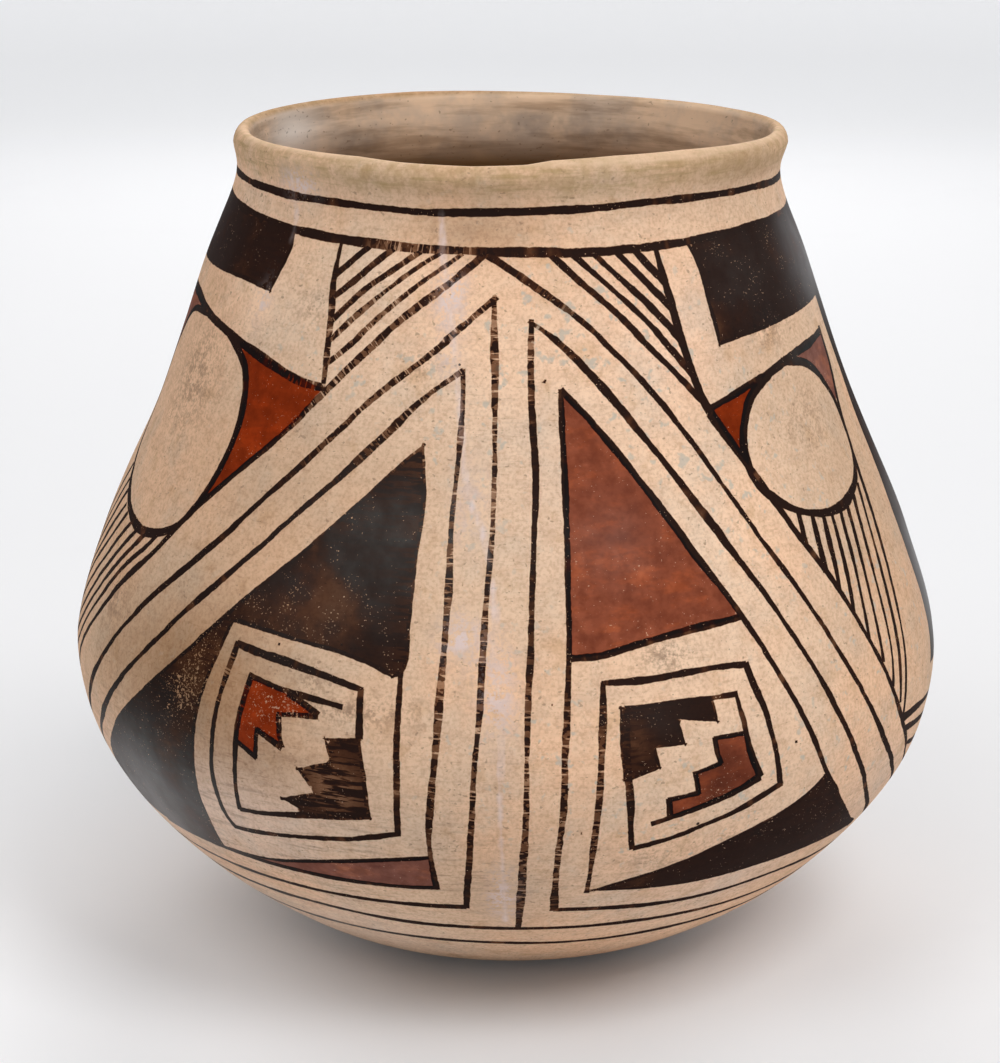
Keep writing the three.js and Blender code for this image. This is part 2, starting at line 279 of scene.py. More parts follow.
# Filled areas: tone, then the sides, each of which runs smoothly to the next corner
BLACK, ORANGE, BROWN_RED, OXBLOOD = "black", 0.0, 0.5, 1.0
AREAS = {
    "left_field": (BLACK, (
        ((-12.6, 175.8), (-16.1, 170.2), (-26.7, 149.6), (-36.8, 130), (-49.6, 102), (-61.5, 78.6),
         (-70, 62), (-76, 50.5)),
        ((-76, 50.5), (-58, 50.2), (-43.2, 50.6)),
        ((-43.2, 50.6), (-42.5, 62), (-42.4, 70.3), (-41.9, 77.8), (-41, 90.5), (-40, 102.9),
         (-39.1, 111), (-37.4, 123.4)),
        ((-37.4, 123.4), (-31.6, 122.4), (-22.2, 120.2), (-17.7, 118.1), (-13.9, 115.4)),
        ((-13.9, 115.4), (-12.4, 117), (-12.1, 129.5), (-12, 146.7), (-11.6, 161.3), (-12.6, 175.8)))),
    "left_block": (BLACK, (
        ((-96, 231.6), (-78, 231), (-56, 229.2), (-45.4, 229)),
        ((-45.4, 229), (-44.7, 224.2), (-45.3, 219.9), (-47.3, 211)),
        ((-47.3, 211), (-56.5, 212.4), (-78.7, 212.4), (-96, 212)),
        ((-96, 212), (-96, 231.6)))),
    "left_stairs": (BLACK, (
        ((-21.9, 97.4), (-17.3, 98.2)),
        ((-17.3, 98.2), (-16.7, 88), (-16.6, 74.2)),
        ((-16.6, 74.2), (-22, 72.2), (-29.2, 71)),
        ((-29.2, 71), (-25.6, 73.6)),
        ((-25.6, 73.6), (-28.4, 76.8)),
        ((-28.4, 76.8), (-26, 78.8), (-23.7, 80.6)),
        ((-23.7, 80.6), (-25.6, 87)),
        ((-25.6, 87), (-21.1, 90.8)),
        ((-21.1, 90.8), (-21.9, 97.4)))),
    "right_stairs": (BLACK, (
        ((13.9, 107.4), (20, 107.6), (26, 106.7)),
        ((26, 106.7), (26.4, 100.1)),
        ((26.4, 100.1), (21.1, 102.6)),
        ((21.1, 102.6), (21.9, 95.6)),
        ((21.9, 95.6), (18.1, 95.7)),
        ((18.1, 95.7), (18.6, 89.5)),
        ((18.6, 89.5), (15, 86.9)),
        ((15, 86.9), (14, 87)),
        ((14, 87), (13.7, 98), (13.9, 107.4)))),
    "right_wedge": (BLACK, (
        ((10.6, 49.2), (14.6, 52.2), (19.3, 55), (24, 58.3), (28.8, 62.5), (33.3, 65.9), (38.2, 69.5),
         (41, 72.6), (43.3, 76.4)),
        ((43.3, 76.4), (48.5, 64.2), (60, 46.8)),
        ((60, 46.8), (49.3, 48), (37.1, 48), (26.5, 47.2), (17, 48), (10.6, 49.2)))),
    "right_block": (BLACK, (
        ((36, 227.2), (37.4, 221.5), (38, 210), (38.7, 198.2)),
        ((38.7, 198.2), (44.1, 199.2), (51.8, 200.1), (58.2, 200.9), (73.6, 202), (84.5, 202.4)),
        ((84.5, 202.4), (84.5, 228)),
        ((84.5, 228), (58, 227.8), (36, 227.2)))),
    "right_tongue": (BLACK, (
        ((77.6, 204), (78.3, 190), (79, 176), (78.3, 162), (77, 150), (76.2, 138.7), (76.3, 127),
         (76.6, 110), (76.3, 98), (75, 90)),
        ((75, 90), (80, 88.4), (84.5, 88)),
        ((84.5, 88), (84.5, 204)),
        ((84.5, 204), (77.6, 204)))),
    "left_corner": (ORANGE, (
        ((-53.5, 197.2), (-47.5, 194.6), (-41.5, 192.1), (-31, 187.9)),
        ((-31, 187.9), (-34.7, 178.8), (-44.2, 162), (-52.5, 145.5)),
        ((-52.5, 145.5), (-49.5, 156), (-47.4, 169), (-47.4, 180), (-50, 190), (-53.5, 197.2)))),
    "left_flame": (ORANGE, (
        ((-33.5, 110.4), (-30, 109), (-27.2, 107.5)),
        ((-27.2, 107.5), (-25, 105.4), (-23.1, 102.8)),
        ((-23.1, 102.8), (-28.3, 101)), ((-28.3, 101), (-27.5, 93)), ((-27.5, 93), (-31.1, 96.6)),
        ((-31.1, 96.6), (-31.4, 87.7)), ((-31.4, 87.7), (-34.4, 91.9)), ((-34.4, 91.9), (-33.5, 110.4)))),
    "left_red_wedge": (OXBLOOD, (
        ((-40.5, 50.3), (-33.7, 52.2), (-25.5, 55.9), (-18.9, 58.9), (-10, 62.8)),
        ((-10, 62.8), (-9.8, 50.3)),
        ((-9.8, 50.3), (-29, 49.4), (-40.5, 50.3)))),
    "left_dull_corner": (OXBLOOD, (
        ((-89, 202.8), (-77, 203), (-68, 201.6)),
        ((-68, 201.6), (-76, 198), (-83.4, 187), (-85.6, 172)),
        ((-85.6, 172), (-89, 202.8)))),
    "red_triangle": (BROWN_RED, (
        ((8.9, 190), (14, 180.4), (20, 164.9), (31.8, 127)),
        ((31.8, 127), (22.6, 125.1), (17, 123.3), (11.8, 121.2), (8, 121)),
        ((8, 121), (8.1, 142), (8.5, 161.6), (8.9, 190)))),
    "right_flame": (0.4, (
        ((30, 95.9), (25.8, 96.1)), ((25.8, 96.1), (26.5, 88.3)), ((26.5, 88.3), (23, 86.6)),
        ((23, 86.6), (23.6, 80.4)), ((23.6, 80.4), (19.7, 79.6)), ((19.7, 79.6), (20, 73.5)),
        ((20, 73.5), (28.7, 79), (32.1, 81.8)), ((32.1, 81.8), (30, 95.9)))),
    "right_corner": (ORANGE, (
        ((34.2, 181.2), (41.5, 185), (49, 188.4)),
        ((49, 188.4), (43, 182.5), (40, 174), (40, 163)),
        ((40, 163), (37, 172), (34.2, 181.2)))),
    "right_dull_corner": (OXBLOOD, (
        ((58, 190), (64, 191.9), (72.8, 192.9)),
        ((72.8, 192.9), (72.1, 184), (69.6, 172)),
        ((69.6, 172), (67, 178.6), (63, 185.6), (58, 190)))),
}

# Soft patches of age, and of painted light and shade: degrees and height of the middle, half width in
# degrees, half height, strength
PATCHES = {
    # Ink rubbed off along the lines
    "worn": ((-8, 200, 16, 22, 1), (-5, 150, 7, 40, 1), (-2, 90, 12, 45, 0.75), (-30, 190, 18, 30, 0.8),
             (-55, 118, 14, 22, 0.35), (-36, 108, 4, 12, 0.8), (-27, 100, 6, 12, 0.6),
             (11, 80, 5, 40, 0.5), (3, 62, 4, 30, 0.6), (-21, 83, 5, 11, 1), (-16, 228, 9, 4, 0.8),
             (15, 212, 12, 14, 0.3), (46, 110, 12, 40, 0.25)),
    # Paint laid on with a dry brush, thin and brown
    "dry": ((-27, 208, 7, 12, 1), (-33, 168, 18, 22, 0.7), (-4, 175, 8, 30, 0.5), (4, 190, 3, 14, 0.7),
            (-10, 228, 18, 5, 0.7), (34, 160, 3, 12, 0.3), (50, 110, 6, 30, 0.3)),
    # Flakes gone from the black
    "flaked": ((-42, 107, 4, 12, 1), (-46, 96, 6, 12, 0.55), (-28, 128, 12, 10, 0.2),
               (-22, 142, 12, 20, 0.15), (-39, 124, 5, 7, 0.35), (-29, 102, 6, 9, 0.9),
               (-55, 75, 14, 18, 0.1), (30, 60, 18, 8, 0.15), (60, 212, 20, 14, 0.1), (18, 96, 6, 12, 0.1),
               (20, 140, 14, 26, 0.12), (-42, 175, 9, 16, 0.15), (25, 80, 8, 6, 0.25)),
    # Black laid thin, so it turns brown
    "thin": ((-26, 132, 9, 12, 1), (-42, 112, 7, 10, 0.7), (-40, 220, 8, 14, 0.3)),
    # Brown grime
    "smudged": ((-24.5, 109, 1.5, 5, 1), (-20, 105, 3.5, 3, 0.9), (-14, 106, 4, 4, 0.6),
                (20.5, 120, 3, 3.5, 1), (22, 114.5, 3, 1.6, 0.8), (52, 201, 4, 5, 1),
                (-36, 209, 3, 4, 0.6), (-64, 182, 7, 14, 0.8), (-64, 116, 3, 6, 0.8),
                (-14, 196, 3, 4, 0.4), (19, 60, 4, 4, 0.5), (30, 62, 4, 2.5, 0.6), (56, 172, 6, 8, 0.4)),
    # A brown wash over the red
    "washed": ((26, 84, 7, 14, 1), (-52, 172, 10, 18, 0.4), (40, 178, 7, 10, 0.5)),
    # Painted sheen: a grey haze over the paint where it would catch reflected light
    "painted_sheen": ((-14, 152, 12, 16, 0.65), (-26, 132, 12, 16, 0.2), (-50, 74, 13, 18, 0.8),
              (48, 216, 14, 16, 0.18), (15, 150, 5, 10, 0.6), (18, 104, 6, 8, 0.12),
              (64, 190, 10, 10, 0.4)),
    # Grey stain on the back of the mouth, inside
    "stained": ((172, 241, 20, 4.5, 1), (150, 236, 14, 4, 0.5), (-143, 235, 9, 5, 0.8)),
    # Bleached place on the left of the mouth, inside
    "bleached": ((-118, 244, 10, 6, 1),),
    # Brown place low on the left, inside
    "browned": ((-138, 231, 15, 6, 1),),
    # Chalky bloom round the dried drips
    "chalky": ((-9.6, 214, 2.6, 8, 1), (-9.6, 200, 1.8, 6, 0.5), (-5.6, 126, 2.6, 6, 0.8),
               (-1, 112, 2.2, 12, 0.7), (-46.5, 242, 5, 5, 0.8), (-49, 208, 2, 6, 0.7),
               (-0.9, 48, 2.2, 10, 0.7), (-5, 160, 2.4, 10, 0.5)),
    # Pale spots in the slip
    "spotted": ((12, 205, 22, 26, 1), (-30, 198, 12, 12, 0.9), (-8, 165, 12, 26, 0.5),
                (40, 165, 22, 30, 0.7), (30, 72, 22, 22, 0.9), (0, 105, 16, 30, 0.6),
                (60, 110, 20, 30, 0.6)),
    # Paler and duller stretches: partly the slip's own tone, partly painted light and shade
    "pale": ((-4, 165, 8, 50, 0.35), (10, 200, 34, 24, 0.8), (-24, 196, 14, 22, 0.5),
             (28, 150, 18, 40, 0.9), (28, 86, 22, 30, 0.6), (-50, 208, 10, 12, 1), (-26, 112, 10, 40, 0.4),
             (-33, 22, 24, 16, 1), (34, 22, 16, 14, 0.8), (-64, 236, 14, 8, 0.7), (-20, 221, 12, 6, 0.8)),
    "dull": ((-42, 106, 17, 24, 0.95), (-30, 87, 9, 11, 0.3), (-62, 108, 8, 20, 0.25),
             (-2, 48, 7, 14, 0.24), (-6, 232, 13, 7, 0.58), (-36, 158, 24, 28, 0.28),
             (54, 246, 20, 7, 0.5), (80, 110, 12, 50, 0.2), (-8, 246, 28, 7, 0.28),
             (62, 150, 12, 40, 0.22), (44, 188, 10, 16, 0.15)),
    # Greyer, cooler slip, and low on the belly a painted reflection of the pale floor
    "ashen_and_reflection": ((-38, 71, 15, 20, 1), (-24, 24, 14, 14, 0.25), (30, 205, 14, 22, 0.25), (8, 165, 8, 22, 0.2),
              (26, 44, 20, 16, 0.25), (34, 48, 8, 12, 0.35), (60, 60, 12, 20, 0.4)),
    # Better burnished, so smoother
    "glossy": ((-54, 58, 18, 24, 0.68), (74, 215, 12, 20, 0.55), (-38, 20, 24, 14, 0.6),
               (80, 115, 8, 34, 0.4)),
    # Marks of the polishing stone
    "stroked": ((-42, 70, 34, 26, 1), (-12, 52, 26, 14, 0.6), (0, 180, 12, 12, 0.25),
                (60, 60, 30, 20, 0.35)),
}

# Drips dried on the front: the places that each runs through
DRIPS = (
    ((-13.3, 237), (-12.4, 229.8), (-10.6, 216.7), (-8.6, 200.9), (-6.9, 179.9), (-5.4, 163), (-3.2, 153),
     (-1.4, 136.4), (-1.3, 117.9), (-0.4, 105.3), (-0.9, 71.5), (-0.9, 36)),
    ((-49, 244), (-48.7, 239.3), (-46.3, 232.6), (-45.5, 226)),
)

# A curve drawn by degrees and height is smoothed as if each degree were this wide, in millimetres
DEGREE = 2.0
# The brush that outlines a black area, and how far past its last place a line's round end reaches
OUTLINE_WIDTH = 1.3
ROUND_END = 0.35
# Each face of the mesh knows this many lines, out to this distance, in millimetres
LAYERS = 4
REACH = 3.0
# Margins in which a line or an area is looked for: degrees, then millimetres climbed
LINE_MARGIN = (3.5, 4.0)
AREA_MARGIN = (5.0, 8.0)
# Faces measured against a line at one time
BATCH = 4000
# What the mesh holds away from all lines (across, beyond, half width, along), areas and drips
NO_LINE = (50.0, 50.0, 0.0, 0.0)
NO_AREA = -9.0
NO_DRIP = 9.0
# Seeds of the hand's wander
LINE_SEED = 11
OUTLINE_SEED = 501
DRIP_SEED = 900
HOLLOW_SEED = 4


# The stage, in metres and degrees

SWEEP_HALF_WIDTH = 4.0
SWEEP_REACH = 3.0
SWEEP_BEND = 1.2
LAMP_AIM = (0.0, 0.0, 0.1)
LAMP_COLOUR = (1.0, 0.99, 0.98)
CAMERA_PLACE = (0.0, -0.900, 0.3738)
CAMERA_DIP = 15.64
CAMERA_TURN = 0.132


# Settings that a user would change

class OllaShape(bpy.types.PropertyGroup):
    """Sizes of the jar"""

    base_radius: FloatProperty(
        name="Base radius", description="Radius of the flat resting face",
        default=50.0 * MM, min=0.02, max=0.09, subtype="DISTANCE", unit="LENGTH")
    belly_radius: FloatProperty(
        name="Belly radius", description="Widest outside radius",
        default=135.6 * MM, min=0.125, max=0.1365, subtype="DISTANCE", unit="LENGTH")
    neck_radius: FloatProperty(
        name="Neck radius", description="Outside radius at the narrowest place under the rim",
        default=83.0 * MM, min=0.06, max=0.09, subtype="DISTANCE", unit="LENGTH")
    rim_radius: FloatProperty(
        name="Rim radius", description="Outside radius of the flared rim",
        default=84.6 * MM, min=0.06, max=0.1, subtype="DISTANCE", unit="LENGTH")
    wall: FloatProperty(
        name="Wall", description="Thickness of the clay wall",
        default=5.4 * MM, min=0.003, max=0.009, subtype="DISTANCE", unit="LENGTH")
    lip_height: FloatProperty(
        name="Lip height", description="Height of the rounded lip above the outside of the rim",
        default=3.9 * MM, min=0.001, max=0.006, subtype="DISTANCE", unit="LENGTH")
    unevenness: FloatProperty(
        name="Unevenness", description="Depth of the hollows that the potter's hand left in the wall",
        default=0.5 * MM, min=0.0, max=0.002, subtype="DISTANCE", unit="LENGTH")
    steps_around: IntProperty(
        name="Steps around", description="Faces in one turn of the wall", default=448, min=64, max=480)


class OllaPaint(bpy.types.PropertyGroup):
    """Colours of the slip and the paints, and how worn they are"""

    slip: FloatVectorProperty(
        name="Slip", description="Cream slip that covers the clay",
        default=(0.80, 0.56, 0.385), size=3, min=0, max=1, subtype="COLOR")
    peach: FloatVectorProperty(
        name="Peach", description="Warmer clouds in the slip",
        default=(0.86, 0.56, 0.365), size=3, min=0, max=1, subtype="COLOR")
    grey: FloatVectorProperty(
        name="Grey", description="Greyer clouds in the slip",
        default=(0.66, 0.51, 0.38), size=3, min=0, max=1, subtype="COLOR")
    ink: FloatVectorProperty(
        name="Ink", description="Share of the light that a full coat of the brown-black paint lets through",
        default=(0.05, 0.022, 0.012), size=3, min=0, max=1, subtype="COLOR")
    orange: FloatVectorProperty(
        name="Orange", description="Orange-red paint of the small areas",
        default=(0.25, 0.030, 0.005), size=3, min=0, max=1, subtype="COLOR")
    brown_red: FloatVectorProperty(
        name="Brown red", description="Red paint of the large triangle",
        default=(0.25, 0.065, 0.032), size=3, min=0, max=1, subtype="COLOR")
    oxblood: FloatVectorProperty(
        name="Oxblood", description="Dark red paint of the low wedge",
        default=(0.22, 0.085, 0.060), size=3, min=0, max=1, subtype="COLOR")
    line_weight: FloatProperty(
        name="Line weight", description="Factor on the width of every painted line",
        default=1.0, min=0.5, max=2.0, subtype="FACTOR")
    wear: FloatProperty(
        name="Wear", description="How far the paint is rubbed and flaked",
        default=1.0, min=0.0, max=2.0, subtype="FACTOR")


class OllaStage(bpy.types.PropertyGroup):
    """Floor, lamps and camera"""

    floor_colour: FloatVectorProperty(
        name="Floor", description="Colour of the floor and the backdrop",
        default=(0.83, 0.85, 0.88), size=3, min=0, max=1, subtype="COLOR")
    seen_floor: FloatVectorProperty(
        name="Seen floor", description="Colour of the floor as the camera sees it",
        default=(0.70, 0.70, 0.711), size=3, min=0, max=1, subtype="COLOR")
    backdrop_glow: FloatProperty(
        name="Backdrop glow", description="Brightness added to the far backdrop as the camera sees it",
        default=0.36, min=0.0, max=1.0)
    sky_level: FloatProperty(
        name="Sky level", description="Strength of the even light from above",
        default=0.54, min=0.0, max=2.0)
    key_power: FloatProperty(
        name="Key power", description="Power of the lamp above the right of the front",
        default=22.0, min=0.0, max=200.0, unit="POWER")
    fill_power: FloatProperty(
        name="Fill power", description="Power of the lamp above the left of the front",
        default=9.0, min=0.0, max=200.0, unit="POWER")
    back_power: FloatProperty(
        name="Back power", description="Power of the lamp behind the jar",
        default=9.0, min=0.0, max=200.0, unit="POWER")
    lens: FloatProperty(
        name="Lens", description="Focal length of the camera, in millimetres",
        default=100.0, min=20.0, max=200.0)


# Outline of the jar

def between(first, second, low, high, t):
    """The straight way from the first point, at low, to the second, at high."""
    return (first * (high - t) + second * (t - low)) / (high - low)


def smooth_through(places, step):
    """Points about one step apart on a centripetal curve through the places."""
    p = np.asarray(places, float)
    ends = np.vstack([2 * p[0] - p[1], p, 2 * p[-1] - p[-2]])
    points = []
    for a, b, c, d in zip(ends[:-3], ends[1:-2], ends[2:-1], ends[3:]):
        t1 = np.linalg.norm(b - a) ** 0.5
        t2 = t1 + np.linalg.norm(c - b) ** 0.5
        t3 = t2 + np.linalg.norm(d - c) ** 0.5
        count = max(1, math.ceil(np.linalg.norm(c - b) / step))
        t = np.linspace(t1, t2, count, endpoint=False)[:, None]
        ab = between(a, b, 0.0, t1, t)
        bc = between(b, c, t1, t2, t)
        cd = between(c, d, t2, t3, t)
        abc = between(ab, bc, 0.0, t2, t)
        bcd = between(bc, cd, t1, t3, t)
        points.append(between(abc, bcd, t1, t2, t))
    return np.vstack(points + [p[-1:]])


def outside_places(shape):
    """Radius and height of each place that the outside passes through, in millimetres."""
    return ((shape.base_radius / MM, 0.0), *BOWL_PLACES, (shape.belly_radius / MM, BELLY_HEIGHT),
            *SHOULDER_PLACES, (shape.neck_radius / MM, NECK_HEIGHT), (shape.rim_radius / MM, RIM_HEIGHT))


def distance_along(points):
    """How far each point lies along the line through all of them."""
    return np.concatenate([[0.0], np.cumsum(np.linalg.norm(np.diff(points, axis=0), axis=1))])


class Wall:
    """The outside of the wall, unrolled: height, radius and slope by the distance climbed from the foot."""

    def __init__(self, shape):
        self.outline = smooth_through(outside_places(shape), 0.5)
        self.climb = distance_along(self.outline)

    def climb_at(self, height):
        return np.interp(height, self.outline[:, 1], self.climb)

    def radius_at(self, climb):
        return np.interp(climb, self.climb, self.outline[:, 0])


def inside_places(shape, outside):
    """The inside runs one wall behind the outside, from the floor up to the rim."""
    places = outside_places(shape)[2:]
    behind = [INSIDE_FLOOR]
    for radius, height in places:
        at = int(np.argmin(np.hypot(outside[:, 0] - radius, outside[:, 1] - height)))
        along = outside[min(at + 1, len(outside) - 1)] - outside[max(at - 1, 0)]
        along /= np.linalg.norm(along)
        behind.append((radius - along[1] * shape.wall / MM, height + along[0] * shape.wall / MM))
    return behind


def jar_profile(shape):
    """Half section of the jar, and how far each point has climbed the outside (-1 off the outside)."""
    outer = smooth_through(outside_places(shape), 2.0)
    fine = smooth_through(outside_places(shape), 0.5)
    inner = smooth_through(inside_places(shape, fine), 9.0)[::-1]
    middle, half = (outer[-1] + inner[0]) / 2, (outer[-1] - inner[0]) / 2
    turn = np.linspace(0, math.pi, LIP_STEPS + 1)[1:-1, None]
    lip = middle + half * np.cos(turn) + np.array([0, shape.lip_height / MM]) * np.sin(turn)
    foot = np.array([[radius, 0] for radius in BASE_RINGS])
    floor = np.array([[radius, INSIDE_FLOOR[1]] for radius in FLOOR_RINGS])
    points = np.vstack([foot, outer, lip, inner, floor])
    climb = np.full(len(points), -1.0)
    fine_climb = distance_along(fine)
    for i, point in enumerate(outer):
        climb[len(foot) + i] = fine_climb[np.argmin(np.hypot(*(fine - point).T))]
    return points, climb


# The hand-made shape

def low_waves(turn, height, seed):
    """Slow hollows over the wall, from 0 to 1."""
    rng = np.random.default_rng(seed)
    total = np.zeros_like(turn)
    for waves, rise in ((2, 150.0), (3, 90.0), (5, 60.0), (7, 45.0), (11, 30.0)):
        phase = rng.uniform(0, 2 * math.pi, 2)
        total += np.sin(np.radians(turn) * waves + phase[0]) * np.cos(height * 2 * math.pi / rise + phase[1])
    return np.clip(0.5 + total / 6, 0, 1)


def shape_by_hand(places, shape):
    """Leans the spun wall, lets the lip rise and fall and presses slow hollows in, all in millimetres."""
    x, y, z = places.T
    turn = np.degrees(np.arctan2(x, -y))
    radius = np.hypot(x, y)
    shrink = low_waves(turn, z, HOLLOW_SEED) * shape.unevenness / MM * np.clip(z / 15, 0, 1)
    grip = np.where(radius > 1, (radius - shrink) / np.maximum(radius, 1), 1)
    lean_height, lean = np.array(LEAN).T
    crest_turn, crest = np.array(CREST).T
    near_crest = np.clip((z - CREST_START) / CREST_REACH, 0, 1)
    rise = (np.interp(turn, crest_turn, crest, period=360) - z.max()) * near_crest
    return np.column_stack([x * grip + np.interp(z, lean_height, lean), y * grip, z + rise])


# Laying the design on the wall

def wrapped(turn):
    """The same turn, from -180 to 180 degrees."""
    return (turn + 180.0) % 360.0 - 180.0


def mirrored(places):
    return tuple((PANEL_MIRROR - turn, height) for turn, height in places)


def both_halves(sides):
    """The sides of an area as drawn, and mirrored onto the other half of the jar."""
    return sides, tuple(mirrored(side) for side in sides)


def drawn_curve(wall, places, step):
    """A smooth curve through places given in degrees and height, as degrees and distance climbed."""
    flat = [(turn * DEGREE, float(wall.climb_at(height))) for turn, height in places]
    turn, climb = smooth_through(flat, step).T
    return turn / DEGREE, climb


def hand_wander(along, reach, depth, rng):
    """A slow wander of a hand-drawn line, with the given reach along it and depth across it."""
    waves = sum(np.sin(along / reach * rate + rng.uniform(0, 6.3)) / rate for rate in (0.9, 1.7, 3.1))
    return waves * depth * 0.6


class Stroke:
    """One brush line, sampled every millimetre on the unrolled wall."""

    def __init__(self, wall, widths, places, seed, inset=0.0, steady=False):
        rng = np.random.default_rng(seed)
        self.turn, self.climb = drawn_curve(wall, places, 1.0)
        self.measure(wall)
        spread = np.linspace(0, self.along[-1], len(widths))
        self.half = np.interp(self.along, spread, widths) / 2
        if not steady:
            self.half = self.half * (1 + hand_wander(self.along, 9.0, 0.16, rng)) \
                + hand_wander(self.along, 3.0, 0.08, rng)
        if inset:
            taper = np.clip(np.minimum(self.along, self.along[-1] - self.along) / 1.6, 0.3, 1)
            self.half = self.half * taper
            self.shift(wall, self.half * inset)
        elif not steady:
            self.shift(wall, hand_wander(self.along, 12.0, 0.25, rng))
        self.start = 40.0 * (seed % 997)

    def measure(self, wall):
        """Distance along the line and its heading, at each sample."""
        scale = math.pi / 180 * wall.radius_at(self.climb)
        across = np.column_stack([np.gradient(self.turn) * scale, np.gradient(self.climb)])
        length = np.maximum(np.hypot(*across.T), 1e-9)
        self.along = np.concatenate([[0.0], np.cumsum((length[1:] + length[:-1]) / 2)])
        self.heading = across / length[:, None]

    def shift(self, wall, amount):
        """Moves the line to its left by an amount in millimetres."""
        scale = math.pi / 180 * wall.radius_at(self.climb)
        self.turn = self.turn - self.heading[:, 1] * amount / scale
        self.climb = self.climb + self.heading[:, 0] * amount
        self.measure(wall)

    def offsets(self, wall, turn, climb):
        """Sideways and lengthwise millimetres from each sample to each place."""
        scale = math.pi / 180 * wall.radius_at(climb)[:, None]
        return wrapped(turn[:, None] - self.turn[None]) * scale, climb[:, None] - self.climb[None]

    def distance(self, wall, turn, climb):
        """Millimetres outside the line's edge, for each place."""
        dx, dy = self.offsets(wall, turn, climb)
        away = np.hypot(dx, dy)
        nearest = away.argmin(axis=1)
        return away[np.arange(len(turn)), nearest] - self.half[nearest]

    def readings(self, wall, turn, climb):
        """Across, beyond the end, half width and along, for each place."""
        dx, dy = self.offsets(wall, turn, climb)
        nearest = np.hypot(dx, dy).argmin(axis=1)
        row = np.arange(len(turn))
        dx, dy = dx[row, nearest], dy[row, nearest]
        hx, hy = self.heading[nearest].T
        along = self.along[nearest] + dx * hx + dy * hy
        beyond = np.maximum(-along, along - self.along[-1])
        return np.column_stack([hx * dy - hy * dx, beyond, self.half[nearest], along + self.start])


def turning(sides):
    """+1 where the sides run anticlockwise on the unrolled wall, otherwise -1."""
    corners = np.array([place for side in sides for place in side[:-1]])
    x, y = corners.T
    return 1.0 if np.sum(x * np.roll(y, -1) - np.roll(x, -1) * y) > 0 else -1.0


def all_strokes(wall, weight):
    """Every line of the design and the outline of every black area, on both halves of the jar."""
    strokes = []
    for number, (name, (widths, places)) in enumerate(LINES.items()):
        steady = name.startswith("pit")
        widths = tuple(width * weight for width in widths)
        for flipped, line in enumerate((places, mirrored(places))):
            strokes.append(Stroke(wall, widths, line, LINE_SEED + 2 * number + flipped, steady=steady))
    for number, (tone, sides) in enumerate(AREAS.values()):
        if tone != BLACK:
            continue
        for flipped, lines in enumerate(both_halves(sides)):
            inset = turning(lines)
            for part, side in enumerate(lines):
                seed = OUTLINE_SEED + 40 * number + 2 * part + flipped
                strokes.append(Stroke(wall, (OUTLINE_WIDTH,), side, seed, inset=inset))
    return strokes


def lay_values(mesh, named):
    """Keeps one value for each point of the mesh under each name."""
    for name, values in named.items():
        mesh.attributes.new(name, "FLOAT", "POINT").data.foreach_set("value", values.astype(np.float32))


def wall_faces(mesh, climb):
    """Loops of the quads that lie wholly on the outside of the wall."""
    starts = np.empty(len(mesh.polygons), np.int32)
    totals = np.empty(len(mesh.polygons), np.int32)
    corners = np.empty(len(mesh.loops), np.int32)
    mesh.polygons.foreach_get("loop_start", starts)
    mesh.polygons.foreach_get("loop_total", totals)
    mesh.loops.foreach_get("vertex_index", corners)
    loops = starts[totals == 4][:, None] + np.arange(4)[None]
    return loops[(climb[corners[loops]] >= 0).all(axis=1)], corners


def near_line(stroke, turn, climb):
    """Numbers of the places that lie near some stretch of a line."""
    near = np.zeros(len(turn), bool)
    stretches = len(stroke.turn) // 12 + 1
    for t, c in zip(np.array_split(stroke.turn, stretches), np.array_split(stroke.climb, stretches)):
        middle, spread = (t.min() + t.max()) / 2, (t.max() - t.min()) / 2 + LINE_MARGIN[0]
        level = (climb > c.min() - LINE_MARGIN[1]) & (climb < c.max() + LINE_MARGIN[1])
        near |= (np.abs(wrapped(turn - middle)) < spread) & level
    return np.flatnonzero(near)


def lay_strokes(mesh, wall, strokes, turn, climb):
    """Gives each face the readings of the lines nearest to it, one attribute for each of four layers."""
    loops, corners = wall_faces(mesh, climb)
    face_turn, face_climb = turn[corners[loops]], climb[corners[loops]]
    middle_turn = face_turn[:, 0] + wrapped(face_turn - face_turn[:, :1]).mean(axis=1)
    middle_climb = face_climb.mean(axis=1)
    nearest = np.full((len(loops), LAYERS), REACH)
    owner = np.full((len(loops), LAYERS), -1)
    for number, stroke in enumerate(strokes):
        near = near_line(stroke, middle_turn, middle_climb)
        for part in np.array_split(near, len(near) // BATCH + 1):
            if not len(part):
                continue
            away = stroke.distance(wall, middle_turn[part], middle_climb[part])
            slot = nearest[part].argmax(axis=1)
            closer = away < nearest[part, slot]
            nearest[part[closer], slot[closer]] = away[closer]
            owner[part[closer], slot[closer]] = number
    for layer in range(LAYERS):
        readings = np.tile(np.array(NO_LINE), (len(mesh.loops), 1))
        for number in np.unique(owner[:, layer]):
            if number < 0:
                continue
            mine = loops[owner[:, layer] == number].ravel()
            at = corners[mine]
            readings[mine] = strokes[number].readings(wall, turn[at], climb[at])
        attribute = mesh.attributes.new(f"line_{layer + 1}", "FLOAT_COLOR", "CORNER")
        attribute.data.foreach_set("color", readings.ravel().astype(np.float32))


